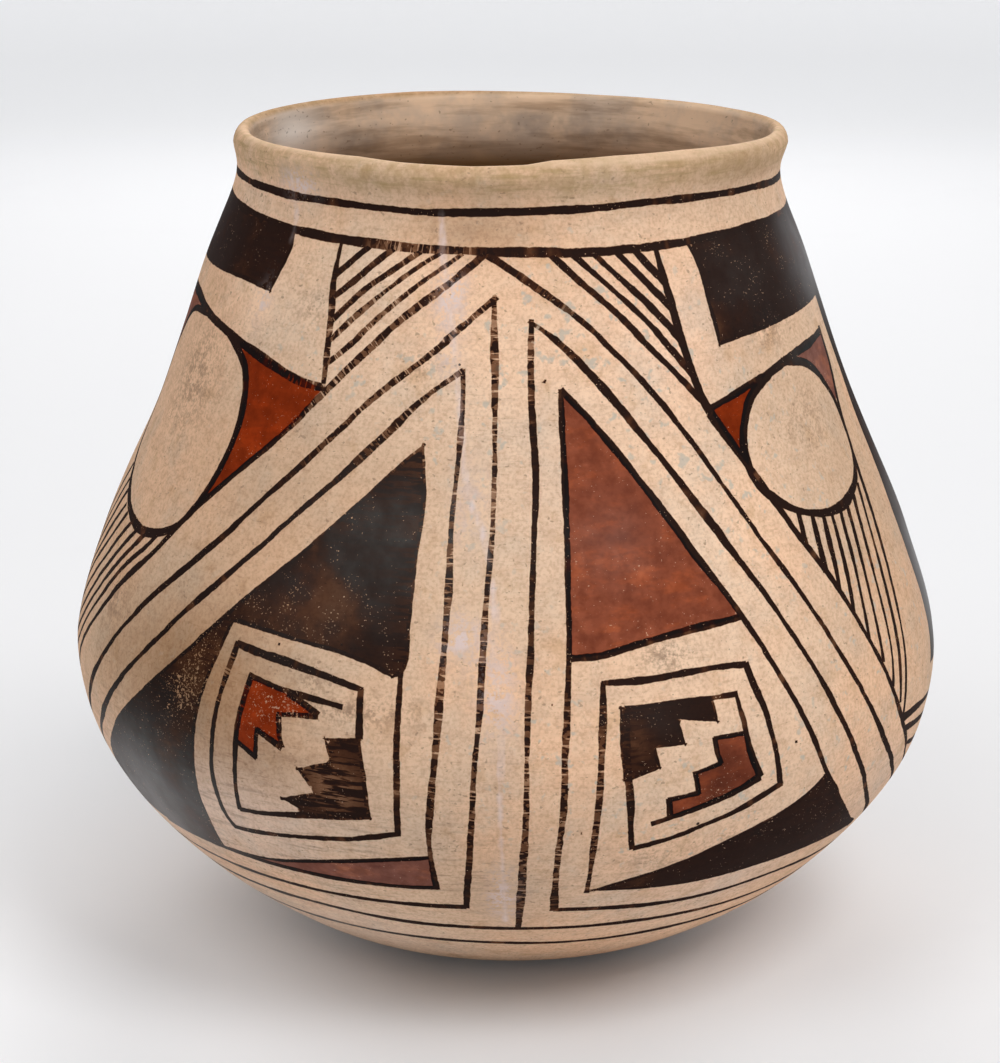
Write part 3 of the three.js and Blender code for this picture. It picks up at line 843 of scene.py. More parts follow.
def area_depth(wall, sides, turn, climb):
    """Millimetres inside an area (minus outside it) for each place."""
    outline = np.hstack([np.array(drawn_curve(wall, side, 1.5))[:, :-1] for side in sides])
    middle = outline[0].mean()
    x0, y0 = outline[0] - middle, outline[1]
    x1, y1 = np.roll(x0, -1), np.roll(y0, -1)
    px, py = wrapped(turn - middle), climb
    scale = math.pi / 180 * wall.radius_at(climb)[:, None]
    ax, ay = (px[:, None] - x0) * scale, py[:, None] - y0
    bx, by = (x1 - x0) * scale, y1 - y0
    share = np.clip((ax * bx + ay * by) / np.maximum(bx * bx + by * by, 1e-9), 0, 1)
    away = np.hypot(ax - share * bx, ay - share * by).min(axis=1)
    crosses = (y0 > py[:, None]) != (y1 > py[:, None])
    level = (py[:, None] - y0) / np.where(y1 == y0, 1e-9, y1 - y0)
    inside = (crosses & (px[:, None] < x0 + level * (x1 - x0))).sum(axis=1) % 2 == 1
    return np.where(inside, away, -away)


def lay_areas(mesh, wall, turn, climb):
    """Depth inside the black and the red areas, and the tone of the red, at each corner of the mesh."""
    black = np.full(len(turn), NO_AREA)
    red = np.full(len(turn), NO_AREA)
    tone = np.zeros(len(turn))
    on_wall = climb >= 0
    for paint, sides in AREAS.values():
        for lines in both_halves(sides):
            corners = np.array([place for side in lines for place in side])
            middle = (corners[:, 0].min() + corners[:, 0].max()) / 2
            spread = (corners[:, 0].max() - corners[:, 0].min()) / 2 + AREA_MARGIN[0]
            low = wall.climb_at(corners[:, 1].min()) - AREA_MARGIN[1]
            high = wall.climb_at(corners[:, 1].max()) + AREA_MARGIN[1]
            beside = np.abs(wrapped(turn - middle)) < spread
            near = np.flatnonzero(on_wall & beside & (climb > low) & (climb < high))
            depth = area_depth(wall, lines, turn[near], climb[near])
            if paint == BLACK:
                black[near] = np.maximum(black[near], depth)
            else:
                tone[near] = np.where(depth > red[near], paint, tone[near])
                red[near] = np.maximum(red[near], depth)
    lay_values(mesh, {"black_depth": black, "red_depth": red, "red_tone": tone})


def lay_age(mesh, wall, turn, climb, height, inside):
    """Soft masks of wear, grime, painted light and shade, and drips, and a mask of the inside."""
    masks = {}
    for name, patches in PATCHES.items():
        total = np.zeros(len(turn))
        for middle, level, half_turn, half_height, strength in patches:
            for centre in (middle, PANEL_MIRROR - middle):
                dx = wrapped(turn - centre) / half_turn
                dy = (height - level) / half_height
                total += strength * np.exp(-(dx * dx + dy * dy))
        masks[name] = np.clip(total, 0, 1)
    drip = np.full(len(turn), NO_DRIP)
    for places in DRIPS:
        line = Stroke(wall, (1.0,), places, DRIP_SEED, steady=True)
        near = np.flatnonzero((np.abs(wrapped(turn - line.turn.mean())) < 15) & (climb > 0))
        drip[near] = np.minimum(drip[near], line.distance(wall, turn[near], climb[near]))
    masks["drip"] = drip
    masks["inside"] = inside.astype(float)
    lay_values(mesh, masks)


# Materials

# Colours of the clay, its age and its painted light and shade, as shares of the light thrown back
TOASTED_CLAY = (0.60, 0.36, 0.19)
SLIP_SPECK = (0.24, 0.14, 0.085)
PALE_SPOT = (0.52, 0.47, 0.395)
PIT_SHADOW = (0.045, 0.03, 0.022)
HANDLED_LIP = (0.41, 0.285, 0.125)
LIP_HIGHLIGHT = (0.78, 0.56, 0.38)
INSIDE_CLAY = (0.84, 0.60, 0.41)
INSIDE_CLOUD = (0.60, 0.46, 0.35)
INSIDE_BLEACHED = (0.92, 0.84, 0.76)
INSIDE_SPECK = (0.16, 0.10, 0.06)
PAINTED_INSIDE_SHADE = (0.14, 0.070, 0.020)
PAINTED_DEEP_SHADE = (0.15, 0.088, 0.045)
GRIME = (0.24, 0.155, 0.105)
CHALK = (0.80, 0.67, 0.67)
CHALK_ON_PAINT = (0.76, 0.62, 0.60)
SHEEN_GREY = (0.25, 0.275, 0.265)
PAPER_GLOW = (0.97, 0.98, 1.0, 1.0)
SKY_COLOUR = (0.985, 0.99, 1.0, 1.0)

# Heights between which the lip's wear, its painted highlight, the inside and the painted shade inside fade
# in, in metres
LIP_WEAR = (0.2425, 0.2475)
LIP_CREST = (0.2495, 0.2508)
INSIDE_EDGE = (0.2508, 0.2490)
INSIDE_SHADE_HEIGHTS = (0.239, 0.224)
DEEP_SHADE_HEIGHTS = (0.205, 0.150)


class Bench:
    """Adds nodes to one tree and joins them."""

    def __init__(self, tree):
        self.tree = tree

    def add(self, kind, settings=None, **inputs):
        node = self.tree.nodes.new("ShaderNode" + kind)
        for name, value in (settings or {}).items():
            setattr(node, name, value)
        for name, value in inputs.items():
            self.feed(node.inputs[name.replace("_", " ")], value)
        return node

    def use(self, group, **inputs):
        """Places a node group with its own values."""
        node = self.add("Group", {"node_tree": group}, **inputs)
        return node.outputs

    def feed(self, socket, value):
        if isinstance(value, bpy.types.NodeSocket):
            self.tree.links.new(value, socket)
        else:
            socket.default_value = value

    def math(self, operation, first, second=0.0, clamp=False):
        node = self.add("Math", {"operation": operation, "use_clamp": clamp})
        for socket, value in zip(node.inputs, (first, second)):
            self.feed(socket, value)
        return node.outputs[0]

    def times(self, *values):
        total = values[0]
        for value in values[1:]:
            total = self.math("MULTIPLY", total, value)
        return total

    def plus(self, first, second, share=1.0):
        """The first value plus a share of the second."""
        return self.math("ADD", first, second if share == 1.0 else self.times(second, share))

    def rest(self, *values):
        """What is left of 1 when the product of the values is taken away."""
        return self.math("SUBTRACT", 1.0, self.times(*values), clamp=True)

    def fade(self, value, low, high, bottom=0.0, top=1.0):
        """A soft step from bottom to top as the value goes from low to high."""
        node = self.add("MapRange", {"interpolation_type": "SMOOTHSTEP"})
        names = ("Value", "From Min", "From Max", "To Min", "To Max")
        for name, number in zip(names, (value, low, high, bottom, top)):
            self.feed(node.inputs[name], number)
        return node.outputs[0]

    def blend(self, share, first, second, kind="MIX"):
        node = self.add("Mix", {"data_type": "RGBA", "blend_type": kind, "clamp_factor": True})
        self.feed(node.inputs[0], share)
        for socket, value in ((node.inputs[6], first), (node.inputs[7], second)):
            self.feed(socket, value if isinstance(value, bpy.types.NodeSocket) else (*value, 1.0))
        return node.outputs[2]

    def coats(self, colour, *coats):
        """Lays one colour after another over the first, each as far as its share says."""
        for share, coat in coats:
            colour = self.blend(share, colour, coat)
        return colour

    def tints(self, colour, *tints):
        """Multiplies a colour by one factor after another, each as far as its share says."""
        for share, factor in tints:
            colour = self.blend(share, colour, self.blend(1.0, colour, factor, "MULTIPLY"))
        return colour

    def either(self, choice, first, second):
        """The second value where the choice is 1, otherwise the first."""
        node = self.add("Mix", {"data_type": "FLOAT"})
        for number, value in ((0, choice), (2, first), (3, second)):
            self.feed(node.inputs[number], value)
        return node.outputs[0]

    def noise(self, vector, scale, detail, roughness):
        node = self.add("TexNoise", Vector=vector, Scale=scale, Detail=detail, Roughness=roughness)
        return node.outputs["Fac"]

    def stretched(self, vector, scale, location=(0.0, 0.0, 0.0)):
        return self.add("Mapping", Vector=vector, Scale=scale, Location=location).outputs[0]

    def split(self, vector):
        return self.add("SeparateXYZ", Vector=vector).outputs

    def read(self, name):
        """The value that the mesh holds under a name."""
        return self.add("Attribute", {"attribute_name": name}).outputs["Fac"]


def new_group(name, inputs, outputs):
    """An empty node group with float or vector inputs and float outputs."""
    group = bpy.data.node_groups.new(name, "ShaderNodeTree")
    kinds = {"float": "NodeSocketFloat", "vector": "NodeSocketVector"}
    for label, kind, *default in inputs:
        socket = group.interface.new_socket(label, in_out="INPUT", socket_type=kinds[kind])
        if default:
            socket.default_value = default[0]
    for label in outputs:
        group.interface.new_socket(label, in_out="OUTPUT", socket_type=kinds["float"])
    start, end = group.nodes.new("NodeGroupInput"), group.nodes.new("NodeGroupOutput")
    return group, Bench(group), start.outputs, end.inputs


def brush_line_group():
    """Thickness of one brush stroke's paint: full, then thin where the brush ran dry or it was rubbed."""
    group, bench, given, made = new_group(
        "Brush line",
        (("Across", "float"), ("Edge", "float"), ("Along", "float"), ("Wear", "float"), ("Dryness", "float"),
         ("Wiped", "float")),
        ("Film",))
    place = bench.add("CombineXYZ", X=given["Along"], Y=bench.times(given["Across"], 0.6), Z=3.0).outputs[0]
    dry = bench.plus(bench.noise(place, 0.12, 2.0, 0.6), given["Dryness"], 0.06)
    rubbed = bench.plus(bench.noise(place, 0.42, 2.0, 0.6), given["Wear"], 0.03)
    worn = bench.fade(given["Wear"], 0.1, 0.8)
    film = bench.times(bench.fade(given["Edge"], 0.14, -0.14), bench.fade(dry, 0.56, 0.70, 1.30, 0.66))
    across = bench.add("CombineXYZ", X=given["Along"], Y=bench.times(given["Across"], 0.12), Z=7.0).outputs[0]
    crack = bench.fade(bench.noise(across, 1.1, 1.0, 0.5), 0.60, 0.64)
    for mark, share in ((bench.fade(rubbed, 0.53, 0.56), 0.56), (given["Wiped"], 0.12), (crack, 0.80)):
        film = bench.times(film, bench.rest(mark, worn, share))
    bench.feed(made["Film"], film)
    return group


def spots_group():
    """Scattered round marks: a share of the cells of a grid each hold one."""
    group, bench, given, made = new_group(
        "Scattered spots",
        (("Vector", "vector"), ("Scale", "float", 100.0), ("Share", "float", 0.2), ("Size", "float", 0.2),
         ("Softness", "float", 0.3)),
        ("Mask",))
    cells = bench.add("TexVoronoi", {"feature": "F1"}, Vector=given["Vector"], Scale=given["Scale"])
    chance = bench.add("SeparateColor", Color=cells.outputs["Color"]).outputs
    chosen = bench.math("LESS_THAN", chance[0], given["Share"])
    size = bench.times(given["Size"], bench.plus(0.4, chance[1], 0.8))
    inner = bench.times(size, bench.rest(given["Softness"]))
    bench.feed(made["Mask"], bench.times(chosen, bench.fade(cells.outputs["Distance"], size, inner)))
    return group


def streaks_group():
    """Fine marks that run round the jar, as wiping and polishing leave them."""
    group, bench, given, made = new_group(
        "Polish marks",
        (("Vector", "vector"), ("Scale", "float", 60.0), ("Low", "float", 0.55), ("High", "float", 0.7)),
        ("Mask",))
    streaks = bench.noise(bench.stretched(given["Vector"], (1.0, 1.0, 10.0)), given["Scale"], 3.0, 0.62)
    bench.feed(made["Mask"], bench.fade(streaks, given["Low"], given["High"]))
    return group


def nearest_line(bench):
    """Across, along and distance outside the edge, for the nearest of the lines laid on the mesh."""
    best = None
    for layer in range(1, LAYERS + 1):
        line = bench.add("Attribute", {"attribute_name": f"line_{layer}"}).outputs
        across, beyond, half = bench.add("SeparateColor", Color=line["Color"]).outputs
        side = bench.math("SUBTRACT", bench.math("ABSOLUTE", across), half)
        edge = bench.math("MAXIMUM", side, bench.math("SUBTRACT", beyond, ROUND_END))
        if best is None:
            best = (across, line["Alpha"], edge)
            continue
        closer = bench.math("LESS_THAN", edge, best[2])
        best = (bench.either(closer, best[0], across), bench.either(closer, best[1], line["Alpha"]),
                bench.math("MINIMUM", edge, best[2]))
    return best


class Surface:
    """Places, masks and marks that the layers of the painted clay share."""

    def __init__(self, bench, paint):
        where = self.where = bench.add("TexCoord").outputs["Object"]
        place = bench.split(where)
        self.height = place["Z"]
        self.front = bench.fade(place["Y"], 0.04, -0.03)
        self.inside = bench.read("inside")
        self.age = {name: bench.read(name) for name in PATCHES}
        for name in ("worn", "flaked"):
            self.age[name] = bench.times(self.age[name], paint.wear)

        # Clouds, from wide ones down to the grain of the clay
        self.broad = bench.noise(where, 16.0, 3.0, 0.55)
        self.patchy = bench.noise(where, 48.0, 4.0, 0.6)
        self.cloud = bench.noise(where, 110.0, 3.0, 0.6)
        self.fine = bench.noise(where, 260.0, 3.0, 0.65)
        self.grain = bench.noise(where, 1000.0, 2.0, 0.6)
        self.dirt = bench.plus(bench.times(self.fine, 0.55), self.grain, 0.45)
        # How far a painted edge strays, in millimetres
        self.waver = bench.times(bench.math("SUBTRACT", bench.noise(where, 380.0, 2.0, 0.6), 0.5), 1.1)

        # Marks of polishing and wiping, from wide to hair-fine
        streaks = streaks_group()
        self.polish = bench.use(streaks, Vector=where, Scale=62.0, Low=0.5, High=0.7)["Mask"]
        self.wiped = bench.use(streaks, Vector=where, Scale=75.0, Low=0.45, High=0.53)["Mask"]
        self.hairs = bench.use(streaks, Vector=where, Scale=150.0, Low=0.60, High=0.68)["Mask"]

        dots = bench.noise(bench.stretched(where, (1.0, 1.0, 1.3), (0.2, 0.4, 0.0)), 620.0, 1.0, 0.5)
        self.specks = bench.fade(bench.plus(dots, self.patchy, 0.22), 0.80, 0.87)
        self.pits = bench.use(spots_group(), Vector=where, Scale=75.0, Share=0.08, Size=0.040,
                              Softness=0.35)["Mask"]


def cream_slip(bench, on, paint):
    """Slip with warm and grey clouds, mottling, polish marks, specks, pale spots and pits."""
    slip = bench.coats(
        paint.slip,
        (bench.fade(on.broad, 0.40, 0.62), paint.peach),
        (bench.times(bench.fade(on.patchy, 0.46, 0.70), 0.45), paint.grey),
        (bench.times(bench.fade(on.cloud, 0.54, 0.74), 0.45), TOASTED_CLAY))
    stroked = on.age["stroked"]
    slip = bench.tints(
        slip,
        # pale: paler slip, and painted light on the shoulder, the right of the belly and the low underside
        (on.age["pale"], (1.16, 1.19, 1.23)),
        # dull: darker slip, and painted shade towards the left of the belly
        (on.age["dull"], (0.45, 0.39, 0.31)),
        # ashen: greyer slip, and a painted reflection of the floor
        (on.age["ashen_and_reflection"], (0.96, 1.10, 1.32)),
        (bench.fade(on.fine, 0.36, 0.70), (0.91, 0.88, 0.86)),
        (bench.fade(on.grain, 0.40, 0.70), (0.84, 0.80, 0.77)),
        (bench.times(on.hairs, bench.plus(0.35, stroked, 0.5)), (0.70, 0.64, 0.60)),
        (bench.times(on.polish, bench.plus(0.20, stroked, 0.75)), (0.72, 0.70, 0.70)))
    spotted = on.age["spotted"]
    blotch = bench.noise(bench.stretched(on.where, (1.0, 1.0, 1.0), (0.7, 0.1, 0.3)), 270.0, 2.0, 0.6)
    blotches = bench.times(bench.fade(bench.plus(blotch, spotted, 0.06), 0.63, 0.75),
                           bench.fade(spotted, 0.1, 0.6, 0.15, 0.75))
    return bench.coats(
        slip,
        (bench.times(on.specks, 0.50), SLIP_SPECK),
        (blotches, PALE_SPOT),
        (on.pits, PIT_SHADOW))


def lip_wear_and_light(bench, on, slip):
    """Olive-brown where hands held the lip, a painted highlight on its front crest, painted shade at its
    back.
    """
    lip = bench.fade(bench.plus(on.height, on.patchy, 0.006), *LIP_WEAR)
    handled = bench.plus(bench.fade(on.fine, 0.35, 0.65, 0.15, 0.45), on.polish, 0.35)
    # painted highlight along the crest, at the front only
    crest = bench.times(bench.fade(on.height, *LIP_CREST), bench.fade(on.cloud, 0.3, 0.6, 0.5, 1.0), on.front)
    slip = bench.coats(
        slip,
        (bench.times(lip, handled), HANDLED_LIP),
        (bench.times(crest, 0.5), LIP_HIGHLIGHT))
    # painted shade over the back of the lip
    return bench.tints(slip, (bench.times(lip, bench.rest(on.front)), (0.76, 0.72, 0.66)))


def inside_clay(bench, on):
    """Pale just under the lip, stained in places, then painted shade, browner and darker down the wall."""
    inner = bench.blend(bench.fade(on.patchy, 0.38, 0.66), INSIDE_CLAY, INSIDE_CLOUD)
    drawn = bench.noise(bench.stretched(on.where, (1.0, 1.0, 8.0), (0.3, 0.6, 0.2)), 24.0, 4.0, 0.65)
    inner = bench.tints(
        inner,
        (bench.times(on.age["stained"], bench.fade(on.cloud, 0.35, 0.6, 0.4, 1.0)), (0.50, 0.52, 0.56)),
        (bench.fade(drawn, 0.42, 0.66), (0.66, 0.63, 0.60)),
        (bench.times(on.polish, 0.20), (0.66, 0.62, 0.60)))
    # painted shade inside the mouth: brown below the lip, reaching higher in one place on the left
    browned = bench.math("MAXIMUM", bench.fade(on.height, *INSIDE_SHADE_HEIGHTS),
                         bench.times(on.age["browned"], 0.55))
    return bench.coats(
        inner,
        (bench.times(on.age["bleached"], 0.9), INSIDE_BLEACHED),
        (bench.times(on.specks, 0.45), INSIDE_SPECK),
        (browned, PAINTED_INSIDE_SHADE),
        (bench.fade(on.height, *DEEP_SHADE_HEIGHTS), PAINTED_DEEP_SHADE))


def chalk_mask(bench, on):
    """Dried drips on the outside and the powdery bloom round them."""
    drips = bench.times(bench.fade(bench.plus(bench.read("drip"), on.cloud, 3.0), 2.5, 0.6), 0.60)
    powder = bench.times(bench.fade(on.dirt, 0.44, 0.56), bench.fade(on.cloud, 0.38, 0.58, 0.3, 1.0))
    bloom = bench.times(on.age["chalky"], powder, 0.9)
    return bench.times(bench.math("MAXIMUM", drips, bloom), bench.rest(on.inside))


def fleck_mask(bench, on):
    """Small chips and larger flakes that the paint has lost."""
    flaked = on.age["flaked"]
    chip = bench.noise(bench.stretched(on.where, (1.0, 1.0, 1.15), (0.5, 0.9, 0.1)), 1500.0, 2.0, 0.7)
    flake = bench.noise(bench.stretched(on.where, (1.0, 1.0, 1.1), (0.1, 0.3, 0.8)), 560.0, 2.0, 0.65)
    chance = bench.plus(bench.times(flaked, 0.125), on.cloud, 0.30)
    return bench.math("MAXIMUM", bench.fade(bench.plus(chip, chance), 0.855, 0.89),
                      bench.fade(bench.plus(flake, flaked, 0.17), 0.78, 0.81))


def red_paint(bench, on, paint):
    """Orange, brown-red or oxblood by the tone laid on the mesh, uneven from the brush."""
    tone = bench.read("red_tone")
    red = bench.coats(
        paint.orange,
        (bench.fade(tone, 0.0, 0.5), paint.brown_red),
        (bench.fade(tone, 0.55, 1.0), paint.oxblood))
    brushed = bench.noise(bench.stretched(on.where, (1.0, 1.0, 2.6), (0.4, 0.2, 0.5)), 75.0, 4.0, 0.65)
    return bench.tints(
        red,
        (bench.fade(on.cloud, 0.45, 0.70, 0.0, 0.7), (1.4, 1.5, 1.5)),
        (bench.fade(on.fine, 0.35, 0.70), (0.75, 0.70, 0.68)),
        (bench.fade(brushed, 0.50, 0.70), (1.45, 1.35, 1.10)),
        (bench.fade(brushed, 0.50, 0.34), (0.87, 0.87, 0.90)),
        (bench.times(on.age["washed"], bench.fade(on.cloud, 0.35, 0.65, 0.6, 1.0)), (0.45, 0.47, 0.50)))


def black_film(bench, on, fleck):
    """Thickness of the brown-black paint, in the lines and in the filled areas."""
    across, along, edge = nearest_line(bench)
    line = bench.use(brush_line_group(), Across=across, Edge=bench.plus(edge, on.waver, 0.6), Along=along,
                     Wear=on.age["worn"], Dryness=on.age["dry"], Wiped=on.wiped)["Film"]
    cover = bench.fade(bench.plus(bench.read("black_depth"), on.waver), 0.35, 0.75)
    body = bench.fade(bench.plus(on.patchy, on.age["thin"], 0.30), 0.50, 0.80, 1.28, 0.70)
    bare = bench.times(on.wiped, bench.plus(bench.times(on.age["stroked"], 0.12), on.age["worn"], 0.62))
    fill = bench.times(cover, body, bench.rest(bare))
    return bench.times(bench.math("MAXIMUM", line, fill), bench.rest(fleck, 0.96))


def painted_clay(paint):
    """Burnished slip with the design painted on it, worn and grimed."""
    material = bpy.data.materials.new("painted_clay")
    material.use_nodes = True
    tree = material.node_tree
    tree.nodes.clear()
    bench = Bench(tree)
    on = Surface(bench, paint)

    slip = lip_wear_and_light(bench, on, cream_slip(bench, on, paint))
    inside = bench.times(on.inside, bench.fade(on.height, *INSIDE_EDGE))
    smudge = bench.times(bench.fade(on.dirt, 0.43, 0.60), on.age["smudged"])
    chalk = chalk_mask(bench, on)
    slip = bench.coats(
        slip,
        (inside, inside_clay(bench, on)),
        (bench.times(smudge, 0.70), GRIME),
        (chalk, CHALK))

    fleck = fleck_mask(bench, on)
    red_mask = bench.fade(bench.plus(bench.read("red_depth"), on.waver), -0.3, 0.25)
    colour = bench.blend(bench.times(red_mask, bench.rest(fleck, 0.7)), slip, red_paint(bench, on, paint))

    # The black lies as a brown film, almost black where it is thick, and a grey painted sheen lies over the
    # paint
    film = black_film(bench, on, fleck)
    stain = bench.add("Gamma", Color=(*paint.ink, 1.0), Gamma=film).outputs[0]
    colour = bench.blend(1.0, colour, stain, "MULTIPLY")
    # painted sheen: grey over the red and the black in patches, and a little over all of the black
    sheen_patches = bench.times(on.age["painted_sheen"], bench.fade(on.cloud, 0.3, 0.7, 0.10, 0.22))
    sheen = bench.plus(bench.times(bench.math("MAXIMUM", red_mask, film), sheen_patches), film, 0.017)
    colour = bench.coats(
        colour,
        (sheen, SHEEN_GREY),
        (bench.times(chalk, 0.25), CHALK_ON_PAINT))

    # Satin burnish, with the relief of the clay and its pits
    glossy = on.age["glossy"]
    rough = bench.math("SUBTRACT", bench.fade(on.patchy, 0.3, 0.75, 0.66, 0.78), bench.times(film, 0.04))
    rough = bench.math("SUBTRACT", rough, bench.times(glossy, 0.42))
    relief = bench.plus(bench.times(on.patchy, 0.5), on.fine, 0.12)
    relief = bench.math("SUBTRACT", relief, bench.times(on.pits, 0.5))
    bump = bench.add("Bump", Strength=0.35, Distance=1.0 * MM, Height=relief).outputs[0]
    shine = bench.fade(glossy, 0.0, 1.0, 0.025, 0.80)
    shader = bench.add("BsdfPrincipled", Base_Color=colour, Roughness=rough, Specular_IOR_Level=shine,
                       Normal=bump)
    bench.add("OutputMaterial", Surface=shader.outputs[0])
    return material


def pale_paper(stage):
    """Matt white paper, whiter to the camera than it is to the light that it throws back."""
    material = bpy.data.materials.new("pale_paper")
    material.use_nodes = True
    bench = Bench(material.node_tree)
    shader = material.node_tree.nodes["Principled BSDF"].inputs
    shader["Roughness"].default_value = 0.9
    shader["Specular IOR Level"].default_value = 0.1
    shader["Emission Color"].default_value = PAPER_GLOW
    where = bench.add("TexCoord").outputs["Object"]
    place = bench.split(where)
    ray = bench.add("LightPath").outputs
    thrown = bench.math("MAXIMUM", ray["Is Glossy Ray"], ray["Is Transmission Ray"])
    seen = bench.math("MAXIMUM", ray["Is Camera Ray"], thrown)
    smear = bench.fade(bench.noise(where, 9.0, 5.0, 0.6), 0.55, 0.8, 0.0, 0.35)
    shade = bench.blend(seen, stage.floor_colour, stage.seen_floor)
    bench.feed(shader["Base Color"], bench.tints(shade, (smear, (0.95, 0.95, 0.955))))

    # Glow that only the camera sees: a painted shadow under the jar where it is less, painted light on the
    # floor at its left, most on the far backdrop
    under = bench.times(bench.fade(bench.math("ABSOLUTE", place["X"]), 0.09, 0.02),
                        bench.fade(place["Y"], 0.25, 0.0))
    left = bench.times(bench.fade(place["X"], -0.11, -0.17), bench.fade(place["Y"], 0.4, 0.1), 0.07)
    near = bench.plus(bench.math("SUBTRACT", 0.14, bench.times(under, 0.10)), left)
    glow = bench.plus(near, bench.fade(place["Y"], 1.0, 2.7), stage.backdrop_glow)
    bench.feed(shader["Emission Strength"], bench.times(glow, seen))
    return material


# Pieces

def finished_mesh(bm, name):
    """A smooth mesh from a bmesh, which is freed."""
    bmesh.ops.recalc_face_normals(bm, faces=bm.faces)
    for face in bm.faces:
        face.smooth = True
    mesh = bpy.data.meshes.new(name)
    bm.to_mesh(mesh)
    bm.free()
    return mesh


def place_object(context, name, data):
    """An object in the scene that holds a mesh, a lamp or a camera."""
    obj = bpy.data.objects.new(name, data)
    context.scene.collection.objects.link(obj)
    return obj


def spun_jar(shape):
    """The turned jar, before it is shaped by hand, with how far each point has climbed the outside."""
    points, climbed = jar_profile(shape)
    bm = bmesh.new()
    climb_layer = bm.verts.layers.float.new("climb")
    section = []
    for (radius, height), climb in zip(points, climbed):
        vert = bm.verts.new((radius * MM, 0.0, height * MM))
        vert[climb_layer] = climb
        section.append(vert)
    edges = [bm.edges.new(pair) for pair in zip(section, section[1:])]
    bmesh.ops.spin(bm, geom=section + edges, cent=(0, 0, 0), axis=(0, 0, 1), angle=2 * math.pi,
                   steps=shape.steps_around, use_merge=True, use_duplicate=False)
    bmesh.ops.remove_doubles(bm, verts=bm.verts, dist=0.01 * MM)
    return finished_mesh(bm, "painted_olla")


def read_points(mesh):
    """The place of each point of the spun jar in millimetres, and how far it has climbed the outside."""
    places = np.empty(len(mesh.vertices) * 3, np.float32)
    mesh.vertices.foreach_get("co", places)
    climb = np.empty(len(mesh.vertices), np.float32)
    mesh.attributes["climb"].data.foreach_get("value", climb)
    return places.reshape(-1, 3).astype(float) / MM, climb.astype(float)


class OLLA_OT_jar(bpy.types.Operator):
    """Build the jar and lay the painted design on it"""

    bl_idname = "olla.jar"
    bl_label = "Jar"

    def execute(self, context):
        shape, paint = context.scene.olla_shape, context.scene.olla_paint
        mesh = spun_jar(shape)
        jar = place_object(context, "painted_olla", mesh)

        places, climb = read_points(mesh)
        x, y, height = places.T
        turn = np.degrees(np.arctan2(x, -y))
        inside = (climb < 0) & (height > UNDERSIDE) & (np.hypot(x, y) < INSIDE_RADIUS)
        wall = Wall(shape)
        lay_strokes(mesh, wall, all_strokes(wall, paint.line_weight), turn, climb)
        lay_areas(mesh, wall, turn, climb)
        lay_age(mesh, wall, turn, climb, height, inside)
        mesh.vertices.foreach_set("co", (shape_by_hand(places, shape) * MM).ravel().astype(np.float32))
        mesh.update()

        mesh.materials.append(painted_clay(paint))
        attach(jar, "root")
        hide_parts(JAR_NODE)
        return {"FINISHED"}


def floor_sweep():
    """A floor that runs up into a backdrop through a wide bend."""
    bm = bmesh.new()
    section = [bm.verts.new((-SWEEP_HALF_WIDTH, y, z)) for y, z in
               ((-SWEEP_REACH, 0.0), (SWEEP_REACH, 0.0), (SWEEP_REACH, SWEEP_REACH))]
    edges = [bm.edges.new(pair) for pair in zip(section, section[1:])]
    swept = bmesh.ops.extrude_edge_only(bm, edges=edges)["geom"]
    across = [piece for piece in swept if isinstance(piece, bmesh.types.BMVert)]
    bmesh.ops.translate(bm, vec=(2 * SWEEP_HALF_WIDTH, 0.0, 0.0), verts=across)
    crease = [edge for edge in bm.edges
              if all(abs(v.co.y - SWEEP_REACH) < 1e-6 and abs(v.co.z) < 1e-6 for v in edge.verts)]
    bmesh.ops.bevel(bm, geom=crease, offset=SWEEP_BEND, segments=24, profile=0.5, affect="EDGES", material=-1)
    mesh = finished_mesh(bm, "floor_sweep")
    if mesh.polygons[0].normal.z < 0:
        mesh.flip_normals()
    return mesh


def soft_lamp(context, name, place, size, power):
    """A soft square lamp that faces the jar."""
    light = bpy.data.lights.new(name, "AREA")
    light.size = size
    light.energy = power
    light.color = LAMP_COLOUR
    lamp = place_object(context, name, light)
    lamp.location = place
    lamp.rotation_euler = (Vector(LAMP_AIM) - Vector(place)).to_track_quat("-Z", "Y").to_euler()


def even_light(stage):
    """A world that lights from above and shows pale to the camera and in reflections."""
    world = bpy.data.worlds.new("even_light")
    world.use_nodes = True
    bench = Bench(world.node_tree)
    sky = world.node_tree.nodes["Background"].inputs
    sky["Color"].default_value = SKY_COLOUR
    up = bench.split(bench.add("TexCoord").outputs["Generated"])["Z"]
    lit = bench.fade(up, 0.3, 0.4, 0.0, stage.sky_level)
    ray = bench.add("LightPath").outputs
    thrown = bench.math("MAXIMUM", ray["Is Glossy Ray"], ray["Is Transmission Ray"])
    seen = bench.math("MAXIMUM", bench.times(ray["Is Camera Ray"], 0.9), bench.times(thrown, 0.42))
    bench.feed(sky["Strength"], bench.math("MAXIMUM", lit, seen))
    return world


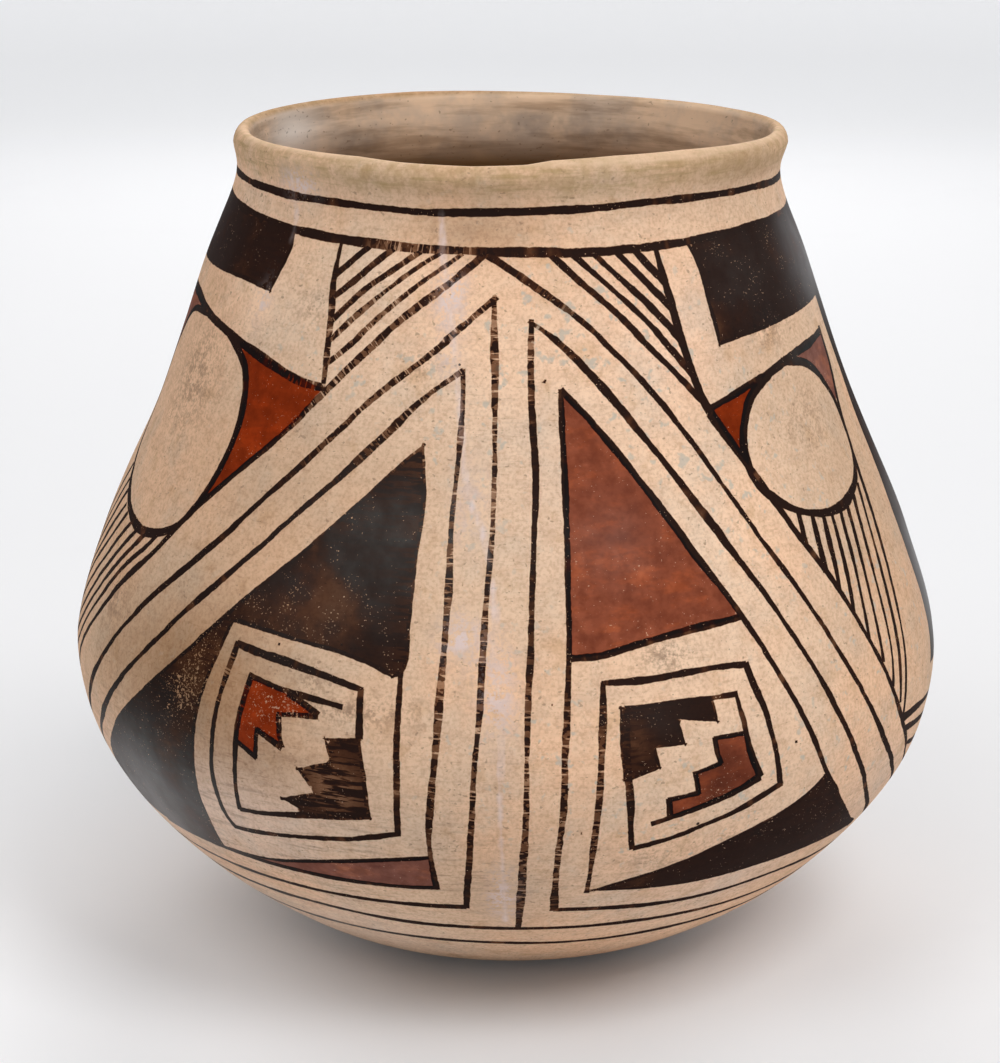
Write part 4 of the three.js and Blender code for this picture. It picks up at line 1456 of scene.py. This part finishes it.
class OLLA_OT_stage(bpy.types.Operator):
    """Build the floor with its backdrop, the lamps, the world and the camera"""

    bl_idname = "olla.stage"
    bl_label = "Stage"

    def execute(self, context):
        stage = context.scene.olla_stage
        floor = place_object(context, "floor_sweep", floor_sweep())
        floor.data.materials.append(pale_paper(stage))

        soft_lamp(context, "key_lamp", (0.9, -0.9, 1.8), 1.0, stage.key_power)
        soft_lamp(context, "fill_lamp", (-0.9, -0.9, 1.8), 1.0, stage.fill_power)
        soft_lamp(context, "back_lamp", (0.0, 1.5, 1.0), 0.9, stage.back_power)
        context.scene.world = even_light(stage)

        view = place_object(context, "camera", bpy.data.cameras.new("camera"))
        view.data.lens = stage.lens
        view.data.sensor_width = 36.0
        view.data.clip_end = 50.0
        view.location = CAMERA_PLACE
        view.rotation_euler = (math.radians(90.0 - CAMERA_DIP), 0.0, math.radians(CAMERA_TURN))
        context.scene.camera = view
        context.scene.view_settings.view_transform = "Standard"
        return {"FINISHED"}


class OLLA_PT_panel(bpy.types.Panel):
    """Settings and makers of the olla"""

    bl_idname = "OLLA_PT_panel"
    bl_label = "Painted Olla"
    bl_space_type = "VIEW_3D"
    bl_region_type = "UI"
    bl_category = "Olla"

    def draw(self, context):
        scene = context.scene
        boxes = ((scene.olla_shape, None), (scene.olla_paint, OLLA_OT_jar), (scene.olla_stage, OLLA_OT_stage))
        for settings, maker in boxes:
            box = self.layout.box()
            for name in settings.__annotations__:
                box.prop(settings, name)
            if maker:
                box.operator(maker.bl_idname)


CLASSES = (OllaShape, OllaPaint, OllaStage, OLLA_OT_jar, OLLA_OT_stage, OLLA_PT_panel)


def register():
    for cls in CLASSES:
        bpy.utils.register_class(cls)
    bpy.types.Scene.olla_shape = PointerProperty(type=OllaShape)
    bpy.types.Scene.olla_paint = PointerProperty(type=OllaPaint)
    bpy.types.Scene.olla_stage = PointerProperty(type=OllaStage)


def unregister():
    del bpy.types.Scene.olla_shape, bpy.types.Scene.olla_paint, bpy.types.Scene.olla_stage
    for cls in reversed(CLASSES):
        bpy.utils.unregister_class(cls)


def main():
    register()
    bpy.ops.olla.stage()
    bpy.ops.olla.jar()


if __name__ == "__main__":
    main()
